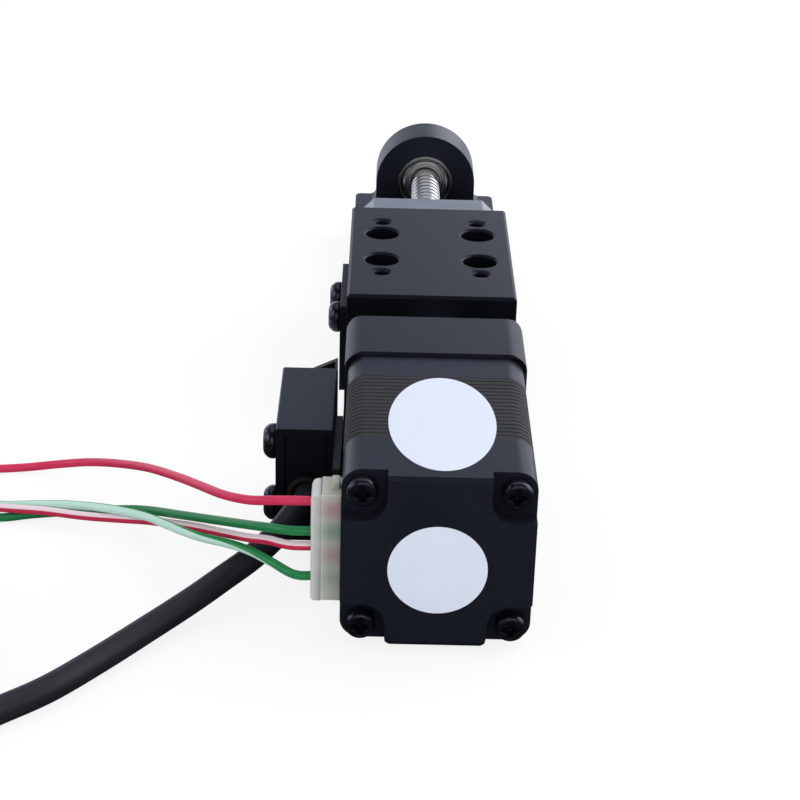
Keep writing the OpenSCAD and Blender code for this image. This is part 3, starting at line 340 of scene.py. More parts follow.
# ---------- Ground and light ----------
# A plain white ground under soft lamps. What metal and paint mirror is chosen on its own,
# as a photographer does with cards: bright behind the object, dark on the camera's side.
ground_mesh = bpy.data.meshes.new("ground")
ground_mesh.from_pydata([(-4, -4, -2e-5), (4, -4, -2e-5), (4, 4, -2e-5), (-4, 4, -2e-5)],
                        [], [(0, 1, 2, 3)])
ground = placed("ground", ground_mesh)
ground_paper = finish("white_ground", "#fbfbfc", "#f8f8f9", 60, 0.9, 0.02,
                      **{"Specular IOR Level": 0.1})
ground_mesh.materials.append(ground_paper)
paper = ground_paper.node_tree
ray = add_node(paper, "ShaderNodeLightPath").outputs
seen = maths(paper, "MAXIMUM", ray["Is Camera Ray"], ray["Is Transmission Ray"])
bright = add_node(paper, "ShaderNodeEmission", {"Color": linear("#ffffff"), "Strength": 1.02})
lit = next(n for n in paper.nodes if n.type == "BSDF_PRINCIPLED").outputs[0]
direct = add_node(paper, "ShaderNodeMixShader", {
    0: maths(paper, "MULTIPLY", seen, 0.82), 1: lit, 2: bright.outputs[0]})
along = add_node(paper, "ShaderNodeSeparateXYZ", {
    0: add_node(paper, "ShaderNodeTexCoord").outputs["Object"]}).outputs[1]
card = add_node(paper, "ShaderNodeMapRange", {
    "Value": along, "From Min": -0.07, "From Max": 0.05, "To Min": 0.04, "To Max": 1.3})
mirrored = add_node(paper, "ShaderNodeEmission", {
    "Color": linear("#e2e9f6"), "Strength": card.outputs[0]})
both = add_node(paper, "ShaderNodeMixShader", {
    0: ray["Is Glossy Ray"], 1: direct.outputs[0], 2: mirrored.outputs[0]})
paper.links.new(both.outputs[0], next(n for n in paper.nodes if n.type == "OUTPUT_MATERIAL")
                .inputs["Surface"])

world = bpy.data.worlds.new("studio")
scene.world = world
world.use_nodes = True
sky = world.node_tree
sky.nodes.clear()
ray = add_node(sky, "ShaderNodeLightPath").outputs
seen = maths(sky, "MAXIMUM", ray["Is Camera Ray"], ray["Is Glossy Ray"])
seen = maths(sky, "MAXIMUM", seen, ray["Is Transmission Ray"])
plain = add_node(sky, "ShaderNodeBackground", {"Color": linear("#ffffff"), "Strength": 0.6})
heading = add_node(sky, "ShaderNodeSeparateXYZ", {
    0: add_node(sky, "ShaderNodeTexCoord").outputs["Generated"]}).outputs
backdrop = add_node(sky, "ShaderNodeValToRGB", {"Fac": heading[2]})
rearward_light = add_node(sky, "ShaderNodeMapRange", {
    "Value": heading[1], "From Min": -0.45, "From Max": 0.35, "To Min": 0.3, "To Max": 1.38})
stops = backdrop.color_ramp.elements
stops[0].position, stops[0].color = 0.0, (1.0, 1.0, 1.0, 1)
stops[1].position, stops[1].color = 0.6, (0.08, 0.1, 0.14, 1)
for at, tone in ((0.18, (0.5, 0.52, 0.58, 1)), (0.36, (0.42, 0.48, 0.66, 1))):
    stops.new(at).color = tone
mirrored_sky = add_node(sky, "ShaderNodeBackground", {
    "Color": backdrop.outputs[0], "Strength": rearward_light.outputs[0]})
mixed = add_node(sky, "ShaderNodeMixShader", {
    0: seen, 1: plain.outputs[0], 2: mirrored_sky.outputs[0]})
add_node(sky, "ShaderNodeOutputWorld", {"Surface": mixed.outputs[0]})


def lamp(name, at, towards, size, power):
    """A soft lamp of that size in metres and power in watts, turned towards a point."""
    light = bpy.data.lights.new(name, "AREA")
    light.shape = "RECTANGLE"
    light.size, light.size_y = size
    light.energy = power
    piece = placed(name, light)
    piece.location = at
    piece.rotation_euler = (Vector(towards) - Vector(at)).to_track_quat("-Z", "Y").to_euler()


lamp("rear_right_strip", (0.27, 1.0, 0.22), (0, 0, 0.02), (0.34, 0.36), 0.55)
lamp("right_high_softbox", (0.72, 0.32, 0.55), (0, 0, 0.02), (0.9, 0.8), 4.3)
lamp("overhead_softbox", (0.0, 0.25, 0.95), (0, -0.05, 0), (0.9, 0.9), 1.6)
lamp("left_softbox", (-0.9, -0.25, 0.45), (0, -0.05, 0.01), (0.5, 0.5), 1.5)
lamp("right_softbox", (0.9, -0.25, 0.45), (0, -0.05, 0.01), (0.5, 0.5), 0.9)
lamp("front_softbox", (0.1, -1.0, 0.55), (0, -0.1, 0.01), (1.2, 0.7), 2.3)

# ---------- Rail ----------
# A U-shaped guide ground from steel bar, with a groove for the balls in each wall, and
# two countersunk screws from below at each end. The steel is blackened but its ground
# faces stay lighter.
rail_steel = finish("ground_blackened_steel", "#55575b", "#44464a", 0.35, 0.34, 0.08,
                    metallic=1.0, stretch=(1, 0.05, 1), bump=0.002)
black_oxide_steel = finish("black_oxide_screw_steel", "#101116", "#090a0d", 0.4, 0.2, 0.03,
                           **{"Specular IOR Level": 0.65, "Specular Tint": linear("#dde4ff")})
bright_steel = finish("turned_bright_steel", "#cdccc8", "#aeada8", 0.2, 0.2, 0.06,
                      metallic=1.0, stretch=(1, 0.1, 1))


def copy_of(node, name, body, material, edge=0.0, parts=2, angle=35, shape=None):
    """A copy of a CAD node's mesh that stands for it: merged, its flat faces made whole,
    its sharp edges rounded to that radius in millimetres. shape(point) moves a point."""
    mesh = nodes[node].data.copy()
    if shape:
        for corner in mesh.vertices:
            corner.co = shape(corner.co / MM) * MM
    shaped = bmesh.new()
    shaped.from_mesh(mesh)
    bmesh.ops.remove_doubles(shaped, verts=shaped.verts, dist=2e-6)
    bmesh.ops.dissolve_limit(shaped, angle_limit=math.radians(0.6), verts=shaped.verts,
                             edges=shaped.edges, delimit={"NORMAL"})
    shaped.to_mesh(mesh)
    shaped.free()
    piece = placed(name, mesh)
    mesh.materials.clear()
    mesh.materials.append(material)
    if edge:
        round_edges(piece, edge, parts, angle)
    smooth(piece)
    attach(piece, body)
    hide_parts(node)
    return piece


def round_edges(piece, edge, parts, angle=35, share=None):
    """Rounds a piece's sharp edges to that radius in millimetres. With share(ends), each
    edge is rounded to that share of it instead."""
    bevel = piece.modifiers.new("edges", "BEVEL")
    bevel.width = edge * MM
    bevel.segments = parts
    bevel.limit_method = "ANGLE"
    bevel.angle_limit = math.radians(angle)
    bevel.miter_outer = "MITER_ARC"
    if share:
        weights = piece.data.attributes.new("bevel_weight_edge", "FLOAT", "EDGE")
        for side in piece.data.edges:
            ends = [piece.data.vertices[i].co / MM for i in side.vertices]
            weights.data[side.index].value = share(ends)
        bevel.limit_method = "WEIGHT"
        bevel.use_clamp_overlap = False
        bevel.miter_outer = "MITER_SHARP"
    bake(piece)


def bake(piece):
    """Turns a piece with its modifiers into a plain mesh."""
    bpy.context.view_layer.update()
    shape = piece.evaluated_get(bpy.context.evaluated_depsgraph_get())
    mesh = bpy.data.meshes.new_from_object(shape)
    piece.modifiers.clear()
    piece.data = mesh


def smooth(piece, angle=50):
    """Smooth over rounded edges, with the large flat faces kept flat."""
    piece.data.polygons.foreach_set("use_smooth", [True] * len(piece.data.polygons))
    piece.data.set_sharp_from_angle(angle=math.radians(angle))
    flat = piece.modifiers.new("flat", "WEIGHTED_NORMAL")
    flat.mode = "FACE_AREA"
    flat.weight = 100
    flat.keep_sharp = True
    bake(piece)


def run_tree(piece, tree, values):
    """Runs a geometry node tree on a piece, with the values of its inputs by name."""
    tool = piece.modifiers.new(tree.name, "NODES")
    tool.node_group = tree
    for item in tree.interface.items_tree:
        if item.in_out == "INPUT" and item.name in values:
            tool[item.identifier] = values[item.name]
    bake(piece)


def mesh_of(name, solids, material=None, onto=None):
    """One mesh of solids, each given as points in millimetres and faces. With onto, they are
    added to that mesh, in its first material slot, whatever that holds."""
    built = bmesh.new()
    if onto:
        built.from_mesh(onto)
    for points, faces in solids:
        part = bpy.data.meshes.new(name)
        part.from_pydata([Vector(p) * MM for p in points], [], faces)
        built.from_mesh(part)
        bpy.data.meshes.remove(part)
    bmesh.ops.remove_doubles(built, verts=built.verts, dist=1e-6)
    bmesh.ops.recalc_face_normals(built, faces=built.faces)
    mesh = onto or bpy.data.meshes.new(name)
    built.to_mesh(mesh)
    built.free()
    if material:
        mesh.materials.append(material)
    return mesh


axis_h = 15.0


def lathed(outline, sides, middle=(0, axis_h), ring=False):
    """A solid turned about a line along Y through middle, from an outline of (y, radius)
    points. A ring's outline is closed. Any other solid has a flat face at each open end."""
    n = len(outline)
    angles = [2 * math.pi * k / sides for k in range(sides)]
    points = [(middle[0] + r * math.cos(a), y, middle[1] + r * math.sin(a))
              for y, r in outline for a in angles]
    faces = [(i * sides + k, i * sides + (k + 1) % sides,
              (i + 1) % n * sides + (k + 1) % sides, (i + 1) % n * sides + k)
             for i in range(n if ring else n - 1) for k in range(sides)]
    if not ring:
        faces += [tuple(range(i * sides, (i + 1) * sides))
                  for i in (0, n - 1) if outline[i][1] > 0]
    return points, faces


copy_of("base_rail", "rail_channel", "root", rail_steel, 0.08, 1)

# ---------- Screws ----------
# Bought steel screws with a black finish. The cap screws have a hexagon socket and the
# pan heads a cross recess, both punched by the cold heading.


def cutter(name, outline, depth, taper=1.0):
    """Closed prism with that outline, from depth below its origin to just above it."""
    lift = 0.3
    n = len(outline)
    points = [(x * MM, y * MM, lift * MM) for x, y in outline]
    points += [(x * taper * MM, y * taper * MM, -depth * MM) for x, y in outline]
    faces = [tuple(range(n)), tuple(range(2 * n - 1, n - 1, -1))]
    faces += [(k, k + n, (k + 1) % n + n, (k + 1) % n) for k in range(n)]
    mesh = bpy.data.meshes.new(name)
    mesh.from_pydata(points, [], faces)
    return placed(name, mesh)


def hexagon(across):
    """Outline of a hexagon socket of that width across its flats."""
    r = across / math.sqrt(3)
    return [(r * math.cos(math.pi * k / 3), r * math.sin(math.pi * k / 3)) for k in range(6)]


def cross(across, arm):
    """A cross recess: each wing is narrower and round at its tip."""
    a, b = across / 2, arm / 2
    quarter = [(0.93 * a, -0.62 * b), (a, -0.25 * b), (a, 0.25 * b), (0.93 * a, 0.62 * b), (b, b)]
    return [(x * math.cos(t) - y * math.sin(t), x * math.sin(t) + y * math.cos(t))
            for t in (0, math.pi / 2, math.pi, 3 * math.pi / 2) for x, y in quarter]


recess_tree = bpy.data.node_groups.new("punch_recesses", "GeometryNodeTree")
for socket, kind in (("Screws", "NodeSocketGeometry"), ("Heads", "NodeSocketObject"),
                     ("Punch", "NodeSocketObject"), ("Facing", "NodeSocketVector"),
                     ("Finish", "NodeSocketMaterial")):
    recess_tree.interface.new_socket(socket, in_out="INPUT", socket_type=kind)
recess_tree.interface.new_socket("Screws", in_out="OUTPUT", socket_type="NodeSocketGeometry")
given = add_node(recess_tree, "NodeGroupInput").outputs
heads = add_node(recess_tree, "GeometryNodeObjectInfo", {"Object": given["Heads"]})
punch = add_node(recess_tree, "GeometryNodeObjectInfo", {"Object": given["Punch"]})
turned = add_node(recess_tree, "FunctionNodeEulerToRotation", {"Euler": given["Facing"]})
punches = add_node(recess_tree, "GeometryNodeInstanceOnPoints", {
    "Points": heads.outputs["Geometry"], "Instance": punch.outputs["Geometry"],
    "Rotation": turned.outputs[0]})
solid = add_node(recess_tree, "GeometryNodeRealizeInstances", {
    "Geometry": punches.outputs[0]})
cut = add_node(recess_tree, "GeometryNodeMeshBoolean", {
    "Mesh 1": given["Screws"], "Mesh 2": solid.outputs[0]},
    operation="DIFFERENCE", solver="EXACT")
painted = add_node(recess_tree, "GeometryNodeSetMaterial", {
    "Geometry": cut.outputs[0], "Material": given["Finish"]})
add_node(recess_tree, "NodeGroupOutput", {0: painted.outputs[0]})


def punched(node, name, body, material, punch, centres, facing, edge=0.0, solids=None,
            rim=0.0):
    """A node's copy with a recess cut at each centre, and its rim rounded. The solids, as
    mesh_of takes them, stand for the node's own mesh."""
    piece = copy_of(node, name, body, material, edge, 3)
    if solids:
        piece.data = mesh_of(name, solids, material)
    mesh = bpy.data.meshes.new(name + "_heads")
    mesh.from_pydata([Vector(c) * MM for c in centres], [], [])
    heads = placed(name + "_heads", mesh)
    run_tree(piece, recess_tree, {"Heads": heads, "Punch": punch, "Facing": facing,
                                  "Finish": material})
    if rim:
        soft = piece.modifiers.new("rim", "BEVEL")
        soft.width, soft.segments = rim * MM, 3
        soft.limit_method, soft.angle_limit = "ANGLE", math.radians(40)
        bake(piece)
    smooth(piece)
    bpy.data.objects.remove(heads)


# The turns that point a cutter's open side to +Z, -Y, +Y, -X and -Z
up, rearward, onward, leftward, under = (
    (0, 0, 0), (math.pi / 2, 0, 0), (-math.pi / 2, 0, 0), (0, -math.pi / 2, 0), (math.pi, 0, 0))
socket_25 = cutter("socket_25", hexagon(2.5), 1.6)
socket_20 = cutter("socket_20", hexagon(2.0), 1.2)
cross_1 = cutter("cross_1", cross(3.0, 1.35), 1.6, 0.6)
cross_2 = cutter("cross_2", cross(3.5, 1.35), 1.7, 0.4)


def corners(across, along, middle=(0, 0)):
    """The four corners of a rectangle round a middle."""
    return [(middle[0] + sx * across / 2, middle[1] + sy * along / 2)
            for sx in (-1, 1) for sy in (-1, 1)]


punched("rail_screws", "rail_screw_set", "root", bright_steel, socket_20,
        [(sx * x, y, 0.1) for x, y in ((5.5, -52.5), (9, 51.85)) for sx in (-1, 1)], under)

# ---------- Bearing housing and far support ----------
# Both are milled from aluminium bar, bead blasted and anodised black: a very fine even
# matt grain, a dark sheen at a low angle, and every edge broken.
black_anodised = finish("bead_blasted_black_anodised", "#090a0d", "#050608", 0.25, 0.42,
                        0.05, bump=0.003, **{"Specular IOR Level": 0.4,
                                              "Specular Tint": linear("#cfdaff")})
cut_anodised = finish("turned_black_anodised", "#090a0d", "#050608", 0.25, 0.42,
                      0.05, bump=0.002, **{"Specular IOR Level": 0.66,
                                            "Specular Tint": linear("#cfdaff")})
copy_of("bearing_housing", "housing_block", "root", black_anodised, 0.35, 3)
copy_of("far_support", "far_support_arch", "root", cut_anodised, 0.25, 2)
housing_screw_y = -56.8
punched("housing_screws", "housing_screw_set", "root", black_oxide_steel,
        socket_20, [(x, housing_screw_y, z) for x, z in corners(23, 23, (0, axis_h))], onward)

# ---------- Shaft bearings, seal and spacers ----------
# Deep groove ball bearings with ground rings, a wave washer, a threaded retaining ring
# and a rubber seal. They sit inside the motor and the housing.
dress("shaft_bearing_outers", bright_steel)
dress("shaft_bearing_inners", bright_steel)
dress("bearing_balls", finish("polished_ball_steel", "#dcdbd8", "#c9c8c4", 2.0, 0.08, 0.02,
                              metallic=1.0))
dress("wave_washer", bright_steel)
dress("bearing_retainer", black_oxide_steel)
dress("lock_nut", black_oxide_steel)
dress("rotor_spacers", bright_steel)
black_rubber = finish("black_seal_rubber", "#131416", "#0d0e10", 0.3, 0.6, bump=0.004,
                      **{"Specular IOR Level": 0.3})
dress("screw_seal", black_rubber)
dress("nut_wipers", black_rubber)
dress("runner_seals", black_rubber)

# ---------- Motor ----------
# A 28 mm hybrid stepping motor: two die-cast covers in satin black paint round a stack of
# punched steel sheets, held by four long pan screws from the rear.
motor_paint = finish("satin_black_motor_paint", "#1c1f28", "#15181f", 0.5, 0.34, 0.02,
                     bump=0.002, **{"Specular IOR Level": 0.3,
                                    "Specular Tint": linear("#cfdaff")})
rear_cover = copy_of("motor_rear_cover", "rear_cover_casting", "root",
                     motor_paint)
tiny = 0.001
cover_points = [v.co / MM for v in rear_cover.data.vertices]
lowest = min(p.z for p in cover_points)
tongue_x = min(abs(p.x) for p in cover_points if p.z - lowest < tiny)


def tongue_corners(ends):
    """Picks the two lower corners of the tongue, where they run along the motor."""
    return float(all(end.z - lowest < 0.7 and abs(abs(end.x) - tongue_x) < tiny
                     for end in ends))


round_edges(rear_cover, 0.7, 5, share=tongue_corners)
round_edges(rear_cover, 0.6, 4)
smooth(rear_cover)
copy_of("motor_front_bell", "front_bell_casting", "root", motor_paint, 0.4, 3)
# The screws are turned from one outline, with a rounded head and a chamfered tip
head_r, head_h, shank_r = 2.25, 2.2, 1.05
head_y, tip_y = (corner[1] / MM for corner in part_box("motor_through_screws"))
pan_screw = [(tip_y, 0), (tip_y, shank_r - 0.2), (tip_y - 0.2, shank_r),
             (head_y + head_h, shank_r), (head_y + head_h, head_r - 0.08),
             (head_y + head_h - 0.08, head_r)]
pan_screw += [(head_y + head_h * (0.4 - 0.4 * math.sin(t)),
               head_r * (0.66 + 0.34 * math.cos(t)))
              for t in (math.pi * k / 16 for k in range(9))] + [(head_y, 0)]
motor_screws = corners(22, 22, (0, axis_h))
punched("motor_through_screws", "motor_screw_set", "root",
        black_oxide_steel, cross_1, [(x, head_y, z) for x, z in motor_screws], rearward,
        solids=[lathed(pan_screw, 36, at) for at in motor_screws], rim=0.12)


def sheet_edges(tree, place, grain):
    """Edges of the punched sheets: thin dark and paler lines across the motor."""
    line_gap = 0.38205
    wave = add_node(tree, "ShaderNodeTexWave", {
        "Vector": place, "Scale": 2 * math.pi / (20 * line_gap * MM), "Distortion": 1.2,
        "Detail": 2.0, "Detail Scale": 3.0}, bands_direction="Y", wave_profile="SIN")
    return blend(tree, grain, blend(tree, wave.outputs["Fac"], "#161617", "#232221"),
                 "#2a2827")


lamination_steel = finish("punched_sheet_steel_edges", None, None, 0.5, 0.5, 0.1,
                          bump=0.008, stretch=(0.2, 3, 1), colour=sheet_edges,
                          **{"Specular IOR Level": 0.3})
motor_half, corner_r, raised = 14, 3, 0.1


def shallow(point):
    """Raises the floors of the grooves between the sheets, which lie 0.15 mm below the
    outside, to 0.05 mm below it."""
    x, y, z = point.x, point.y, point.z - axis_h
    straight = motor_half - corner_r
    depth = corner_r - math.hypot(max(abs(x) - straight, 0), max(abs(z) - straight, 0))
    if 0.1 < depth < 0.25:
        x += math.copysign(raised, x) if abs(x) > straight - 0.2 else 0
        z += math.copysign(raised, z) if abs(z) > straight - 0.2 else 0
    return Vector((x, y, z + axis_h))


copy_of("stator_core", "stator_sheets", "root", lamination_steel, 0.03, 2,
        shape=shallow)
dress("rotor_stacks", lamination_steel)
dress("motor_windings", finish("enamelled_copper_wire", "#b8703a", "#8a4e24", 0.3, 0.35,
                               metallic=0.9, stretch=(1, 0.1, 1), bump=0.02))
dress("rotor_magnet", finish("sintered_magnet", "#4a4b4e", "#38393c", 0.4, 0.55, metallic=0.6))


def paper_disc(name, middle, half_x, half_y, thickness, matrix, material):
    """A thin die-cut label with a soft rim, lying on the plane that the matrix gives."""
    rim, n = 0.04, 96
    rings = [(1.0, 0.0), (1.0, thickness - rim / 2), (1 - rim / half_x, thickness)]
    points = [(0, 0, thickness)]
    for scale, z in rings:
        points += [(half_x * scale * math.cos(2 * math.pi * k / n),
                    half_y * scale * math.sin(2 * math.pi * k / n), z) for k in range(n)]
    faces = [tuple(range(n, 0, -1))]
    for r in range(2):
        a, b = 1 + r * n, 1 + (r + 1) * n
        faces += [(a + k, a + (k + 1) % n, b + (k + 1) % n, b + k) for k in range(n)]
    faces += [(1 + 2 * n + k, 1 + 2 * n + (k + 1) % n, 0) for k in range(n)]
    mesh = bpy.data.meshes.new(name)
    mesh.from_pydata([(Vector(middle) + matrix @ Vector(p)) * MM for p in points], [], faces)
    mesh.materials.append(material)
    piece = placed(name, mesh)
    smooth(piece)
    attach(piece, "root")


# Satin white label film: even, slightly cool
label_film = finish("white_label_film", "#dde6f6", "#d9e2f3", 3.0, 0.45, 0.03)
paper_disc("motor_label", (0.5, -94.15, 28.99), 8.0, 15.15, 0.08, Matrix.Identity(3),
           label_film)
paper_disc("rear_sticker", (0, -111.69, 14.1), 7.2, 7.2, 0.08,
           Matrix.Rotation(math.pi / 2, 3, "X"), label_film)

# ---------- Motor connector ----------
# A six-way header moulded in natural nylon, with the plug of the four leads pushed home.
# The nylon is milky and lets the colours of the leads glow through.


def wires_inside(tree, place, grain):
    """Milky nylon: paler in the plug, and in the header tinted at the heights of the red
    and the green leads behind it."""
    xyz = add_node(tree, "ShaderNodeSeparateXYZ", {0: place}).outputs
    inward = add_node(tree, "ShaderNodeMapRange", {
        "Value": xyz[0], "From Min": -18.2 * MM, "From Max": -15.6 * MM}).outputs[0]
    tint = blend(tree, inward, blend(tree, grain, "#c5c9c8", "#cfd3d2"), "#b2b4ab")
    for z, hex_code, most in ((21.45, "#b0707f", 0.55), (17.8, "#5b9474", 0.55),
                              (13.95, "#a87a7c", 0.45), (10.05, "#739f86", 0.4)):
        away = maths(tree, "ABSOLUTE", maths(tree, "SUBTRACT", xyz[2], z * MM))
        near = add_node(tree, "ShaderNodeMapRange", {
            "Value": away, "From Min": 0.1 * MM, "From Max": 2.1 * MM,
            "To Min": most, "To Max": 0.0}, interpolation_type="SMOOTHSTEP").outputs[0]
        tint = blend(tree, maths(tree, "MULTIPLY", near, inward), tint, hex_code)
    return tint


nylon = finish("natural_nylon", None, None, 1.5, 0.38, 0.04, colour=wires_inside,
               **{"Subsurface Weight": 0.5, "Subsurface Scale": 0.0015,
                  "Subsurface Radius": (1.0, 1.0, 0.9)})
copy_of("connector_header", "header_moulding", "root", nylon, 0.15, 2)
plug_seam = -16.5
plug_low, plug_high = [corner[2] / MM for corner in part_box("connector_plug")]


def taller(point):
    """Draws the plug's walls 0.7 mm down and 0.3 mm up, outside its seam to the header."""
    if point.x < plug_seam:
        point.z += (point.z - plug_low) / (plug_high - plug_low) - 0.7
    return point


plug = copy_of("connector_plug", "plug_moulding", "root", nylon, shape=taller)
outside = [v.co / MM for v in plug.data.vertices if v.co.x < plug_seam * MM]
plug_sides = [(0, min(p.x for p in outside))]
plug_sides += [(axis, pick(p[axis] for p in outside)) for axis in (1, 2) for pick in (min, max)]


def plug_corners(ends):
    """Rounds the plug's outer edges, most of all those across its free end."""
    free, rear, front, bottom, top = (
        all(abs(end[axis] - at) < tiny for end in ends) for axis, at in plug_sides)
    if free and (bottom or top):
        return 1.0
    return 0.35 * (free + rear + front + bottom + top >= 2)


round_edges(plug, 1.2, 6, share=plug_corners)
smooth(plug)
dress("connector_terminals", tin_plate)

# ---------- Sensor, its bracket and its flag ----------
# An inductive sensor in a moulded black housing, potted behind a rear plate, screwed to a
# bent steel bracket on the bearing housing. The flag on the table passes beside it.
sensor_plastic = finish("moulded_black_plastic", "#0c0d11", "#08090c", 0.35, 0.4, 0.05,
                        bump=0.003, **{"Specular IOR Level": 0.46,
                                       "Specular Tint": linear("#cfdaff")})
copy_of("sensor_body", "sensor_housing", "root", sensor_plastic, 0.25, 2)
copy_of("sensor_end_plate", "sensor_rear_plate", "root", sensor_plastic,
        0.1, 1)
copy_of("sensor_grommet", "cable_grommet", "root", black_rubber, 0.4, 3)
dress("sensor_board", finish("green_circuit_board", "#23683e", "#1a5230", 1.0, 0.4))
dress("sensor_coil", finish("fine_coil_wire", "#b8703a", "#94552a", 0.2, 0.4, metallic=0.9))
bracket_steel = finish("black_zinc_sheet_steel", "#1c1b1a", "#131312", 0.6, 0.42, 0.06,
                       bump=0.002, **{"Specular IOR Level": 0.3})
copy_of("sensor_bracket", "sensor_bracket_sheet", "root", bracket_steel,
        0.12, 2)
dress("bracket_screws", black_oxide_steel)
sensor_screw_x, flag_screw_x = -26.9, -18.5
punched("sensor_screws", "sensor_screw_set", "root", black_oxide_steel,
        cross_2, [(sensor_screw_x, -79.7, z) for z in (17.8, 6.8)], leftward, 0.5)

# ---------- Runner, nut and table ----------
# The table is milled aluminium like the housing. It stands on a steel runner with two
# rows of balls in the rail, and holds the ball nut, clamped by a pale anodised end block.
dress("runner_block", rail_steel)
dress("runner_end_caps", finish("green_moulded_end_cap", "#2f6a41", "#245434", 0.5, 0.45))
dress("end_cap_screws", bright_steel)
dress("guide_balls", bright_steel)
dress("nut_balls", bright_steel)
dress("ball_nut", bright_steel)
# The mouths of the four tapped holes are countersunk
mouth_r = 2.15
countersink = cutter("countersink", [
    (mouth_r * math.cos(math.pi * k / 16), mouth_r * math.sin(math.pi * k / 16))
    for k in range(32)], 0.6, 0.58)
table_middle, table_top, screw_top = (0, -11.8), 24.0, 21.0
punched("table", "table_block", "carriage", black_anodised, countersink,
        [(x, y, table_top) for x, y in corners(18, 25, table_middle)], up, 0.08)
punched("table_screws", "table_screw_set", "carriage",
        black_oxide_steel, socket_25,
        [(x, y, screw_top) for x, y in corners(18, 13, table_middle)], up)
grey_anodised = finish("clear_anodised_aluminium", "#9c9fa8", "#888b94", 0.3, 0.4, 0.05,
                       metallic=0.75, bump=0.004)
copy_of("nut_bracket", "end_block", "carriage", grey_anodised, 0.15, 2)
end_screw_y = 16.2
punched("nut_bracket_screws", "end_block_screw_set", "carriage",
        black_oxide_steel, socket_20,
        [(x, end_screw_y, z) for x, z in corners(20.4, 6.9, (0, 16.05))], onward)
copy_of("sensor_flag", "flag_plate", "carriage", black_anodised, 0.1, 1)
punched("flag_screws", "flag_screw_set", "carriage",
        black_oxide_steel, cross_2,
        [(flag_screw_x, y, 14.2) for y in (-22.8, -13.6)], leftward, 0.5)

# ---------- Ball screw ----------
# Rolled from steel bar: a round-bottomed helical groove of 2 mm lead with bright crests,
# and a plain journal at each end. It runs on as the motor's shaft.
thread_tree = bpy.data.node_groups.new("screw_thread", "GeometryNodeTree")
for socket, kind, value in (
        ("Length", "NodeSocketFloat", 0.1), ("Radius", "NodeSocketFloat", 0.003),
        ("Lead", "NodeSocketFloat", 0.002), ("Depth", "NodeSocketFloat", 0.0004),
        ("Rings", "NodeSocketInt", 500), ("Start", "NodeSocketVector", (0, 0, 0)),
        ("Finish", "NodeSocketMaterial", None)):
    made = thread_tree.interface.new_socket(socket, in_out="INPUT", socket_type=kind)
    if value is not None:
        made.default_value = value
thread_tree.interface.new_socket("Thread", in_out="OUTPUT", socket_type="NodeSocketGeometry")
given = add_node(thread_tree, "NodeGroupInput").outputs
bar = add_node(thread_tree, "GeometryNodeMeshCylinder", {
    "Vertices": 40, "Side Segments": given["Rings"], "Radius": given["Radius"],
    "Depth": given["Length"]}, fill_type="NGON")
spot = add_node(thread_tree, "GeometryNodeInputPosition").outputs[0]
xyz = add_node(thread_tree, "ShaderNodeSeparateXYZ", {0: spot}).outputs
# A wave along the helix, which is 1 in the middle of the groove
turns = maths(thread_tree, "DIVIDE", maths(thread_tree, "ARCTAN2", xyz[1], xyz[0]), 2 * math.pi)
phase = maths(thread_tree, "SUBTRACT", maths(thread_tree, "DIVIDE", xyz[2], given["Lead"]), turns)
wave = maths(thread_tree, "COSINE", maths(thread_tree, "MULTIPLY", phase, 2 * math.pi))
groove = add_node(thread_tree, "ShaderNodeMapRange", {
    "Value": wave, "From Min": -0.2, "From Max": 0.95}, interpolation_type="SMOOTHSTEP")
cut_by = maths(thread_tree, "MULTIPLY", groove.outputs[0], given["Depth"])
keep = maths(thread_tree, "SUBTRACT", 1.0,
             maths(thread_tree, "DIVIDE", cut_by, given["Radius"]))
narrower = add_node(thread_tree, "ShaderNodeCombineXYZ", {0: keep, 1: keep, 2: 1.0})
moved = add_node(thread_tree, "ShaderNodeVectorMath", {0: spot, 1: narrower.outputs[0]},
                 operation="MULTIPLY")
threaded = add_node(thread_tree, "GeometryNodeSetPosition", {
    "Geometry": bar.outputs["Mesh"], "Position": moved.outputs[0]})
laid = add_node(thread_tree, "GeometryNodeTransform", {
    "Geometry": threaded.outputs[0], "Translation": given["Start"],
    "Rotation": (-math.pi / 2, 0, 0)})
metal = add_node(thread_tree, "GeometryNodeSetMaterial", {
    "Geometry": laid.outputs[0], "Material": given["Finish"]})
add_node(thread_tree, "NodeGroupOutput", {0: metal.outputs[0]})

rolled_steel = finish("rolled_screw_steel", "#e2e2e2", "#d6d6d6", 1.0, 0.32, 0.02, metallic=1.0)
thread_y = (-58.6, 45.5)
shaft = placed("ball_screw", bpy.data.meshes.new("ball_screw"))
run_tree(shaft, thread_tree, {
    "Length": (thread_y[1] - thread_y[0]) * MM, "Radius": 3 * MM, "Lead": 2 * MM,
    "Depth": 0.3 * MM, "Rings": 1300, "Finish": rolled_steel,
    "Start": (0, sum(thread_y) / 2 * MM, axis_h * MM)})
journals = ([(-108, 2.2), (-107.7, 2.5), (-58.65, 2.5)],
            [(45.55, 2.2), (47.69, 2.2), (47.7, 2.0), (54.6, 2.0), (54.9, 1.7)])
# The journals' material slot is the mesh's empty first one, so they have no finish and
# show in Blender's default white. Only the thread has the steel finish.
shaft.data = mesh_of("ball_screw", [lathed(outline, 40) for outline in journals],
                     onto=shaft.data)
smooth(shaft)
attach(shaft, "screw")
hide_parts("screw_shaft")

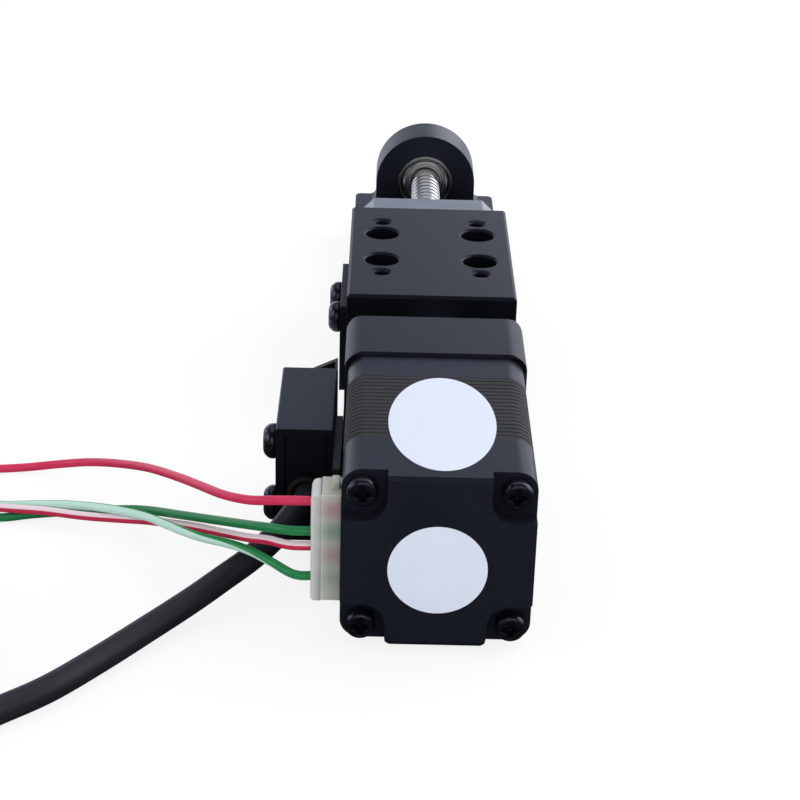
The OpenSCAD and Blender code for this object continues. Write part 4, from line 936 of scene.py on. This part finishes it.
# ---------- Far bearing ----------
# A shielded ball bearing seen from its face: ground rings with their edges broken, round a
# thin shield that is pressed to a dish, and a snap ring that keeps it on the journal.
dress("snap_ring", bright_steel)


def turned_rings(name, outlines, material, node):
    """Fixed rings about the screw's axis that stand for a node."""
    piece = placed(name, mesh_of(name, [lathed(o, 96, ring=True) for o in outlines], material))
    smooth(piece)
    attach(piece, "root")
    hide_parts(node)


far_y0 = 47.7
ground_ring = finish("ground_bearing_steel", "#b4b3b2", "#a8a7a6", 1.5, 0.24, 0.02,
                     metallic=1.0)
turned_rings("far_bearing_ring", [[
    (far_y0, 5.75), (far_y0 + 0.08, 5.93), (far_y0 + 0.25, 6.0), (far_y0 + 3.75, 6.0),
    (far_y0 + 3.92, 5.93), (far_y0 + 4, 5.75), (far_y0 + 4, 5.5), (far_y0 + 3.92, 5.36),
    (far_y0 + 3.2, 5.32), (far_y0 + 3.1, 4.9), (far_y0 + 2.6, 4.98), (far_y0 + 1.4, 4.98),
    (far_y0 + 0.9, 4.9), (far_y0 + 0.8, 5.32), (far_y0 + 0.08, 5.36), (far_y0, 5.5)]],
    ground_ring, "far_bearing_outer")
shield_steel = finish("pressed_bearing_shield", "#b2b1b1", "#a6a5a5", 1.5, 0.2, 0.02,
                      metallic=1.0)


def dish(face, inward):
    """Outline of a pressed shield: it slopes out from its edge in the ring to a rounded rim
    near the bearing's face, and from there a little in to a flat middle."""
    front = [(face + inward * depth, r) for depth, r in (
        (0.75, 5.3), (0.68, 5.28), (0.14, 4.62), (0.03, 4.42), (0.04, 4.24),
        (0.14, 4.05), (0.2, 3.9), (0.2, 3.3), (0.26, 3.2), (0.4, 3.18))]
    back = [(y + inward * 0.12, r - 0.02) for y, r in reversed(front)]
    return front + back


turned_rings("far_bearing_dishes", [dish(far_y0 + 0.15, 1), dish(far_y0 + 3.85, -1)],
             shield_steel, "far_bearing_shields")
dress("far_bearing_inner", shield_steel)

for tool in (socket_25, socket_20, cross_1, cross_2, countersink):
    bpy.data.objects.remove(tool)
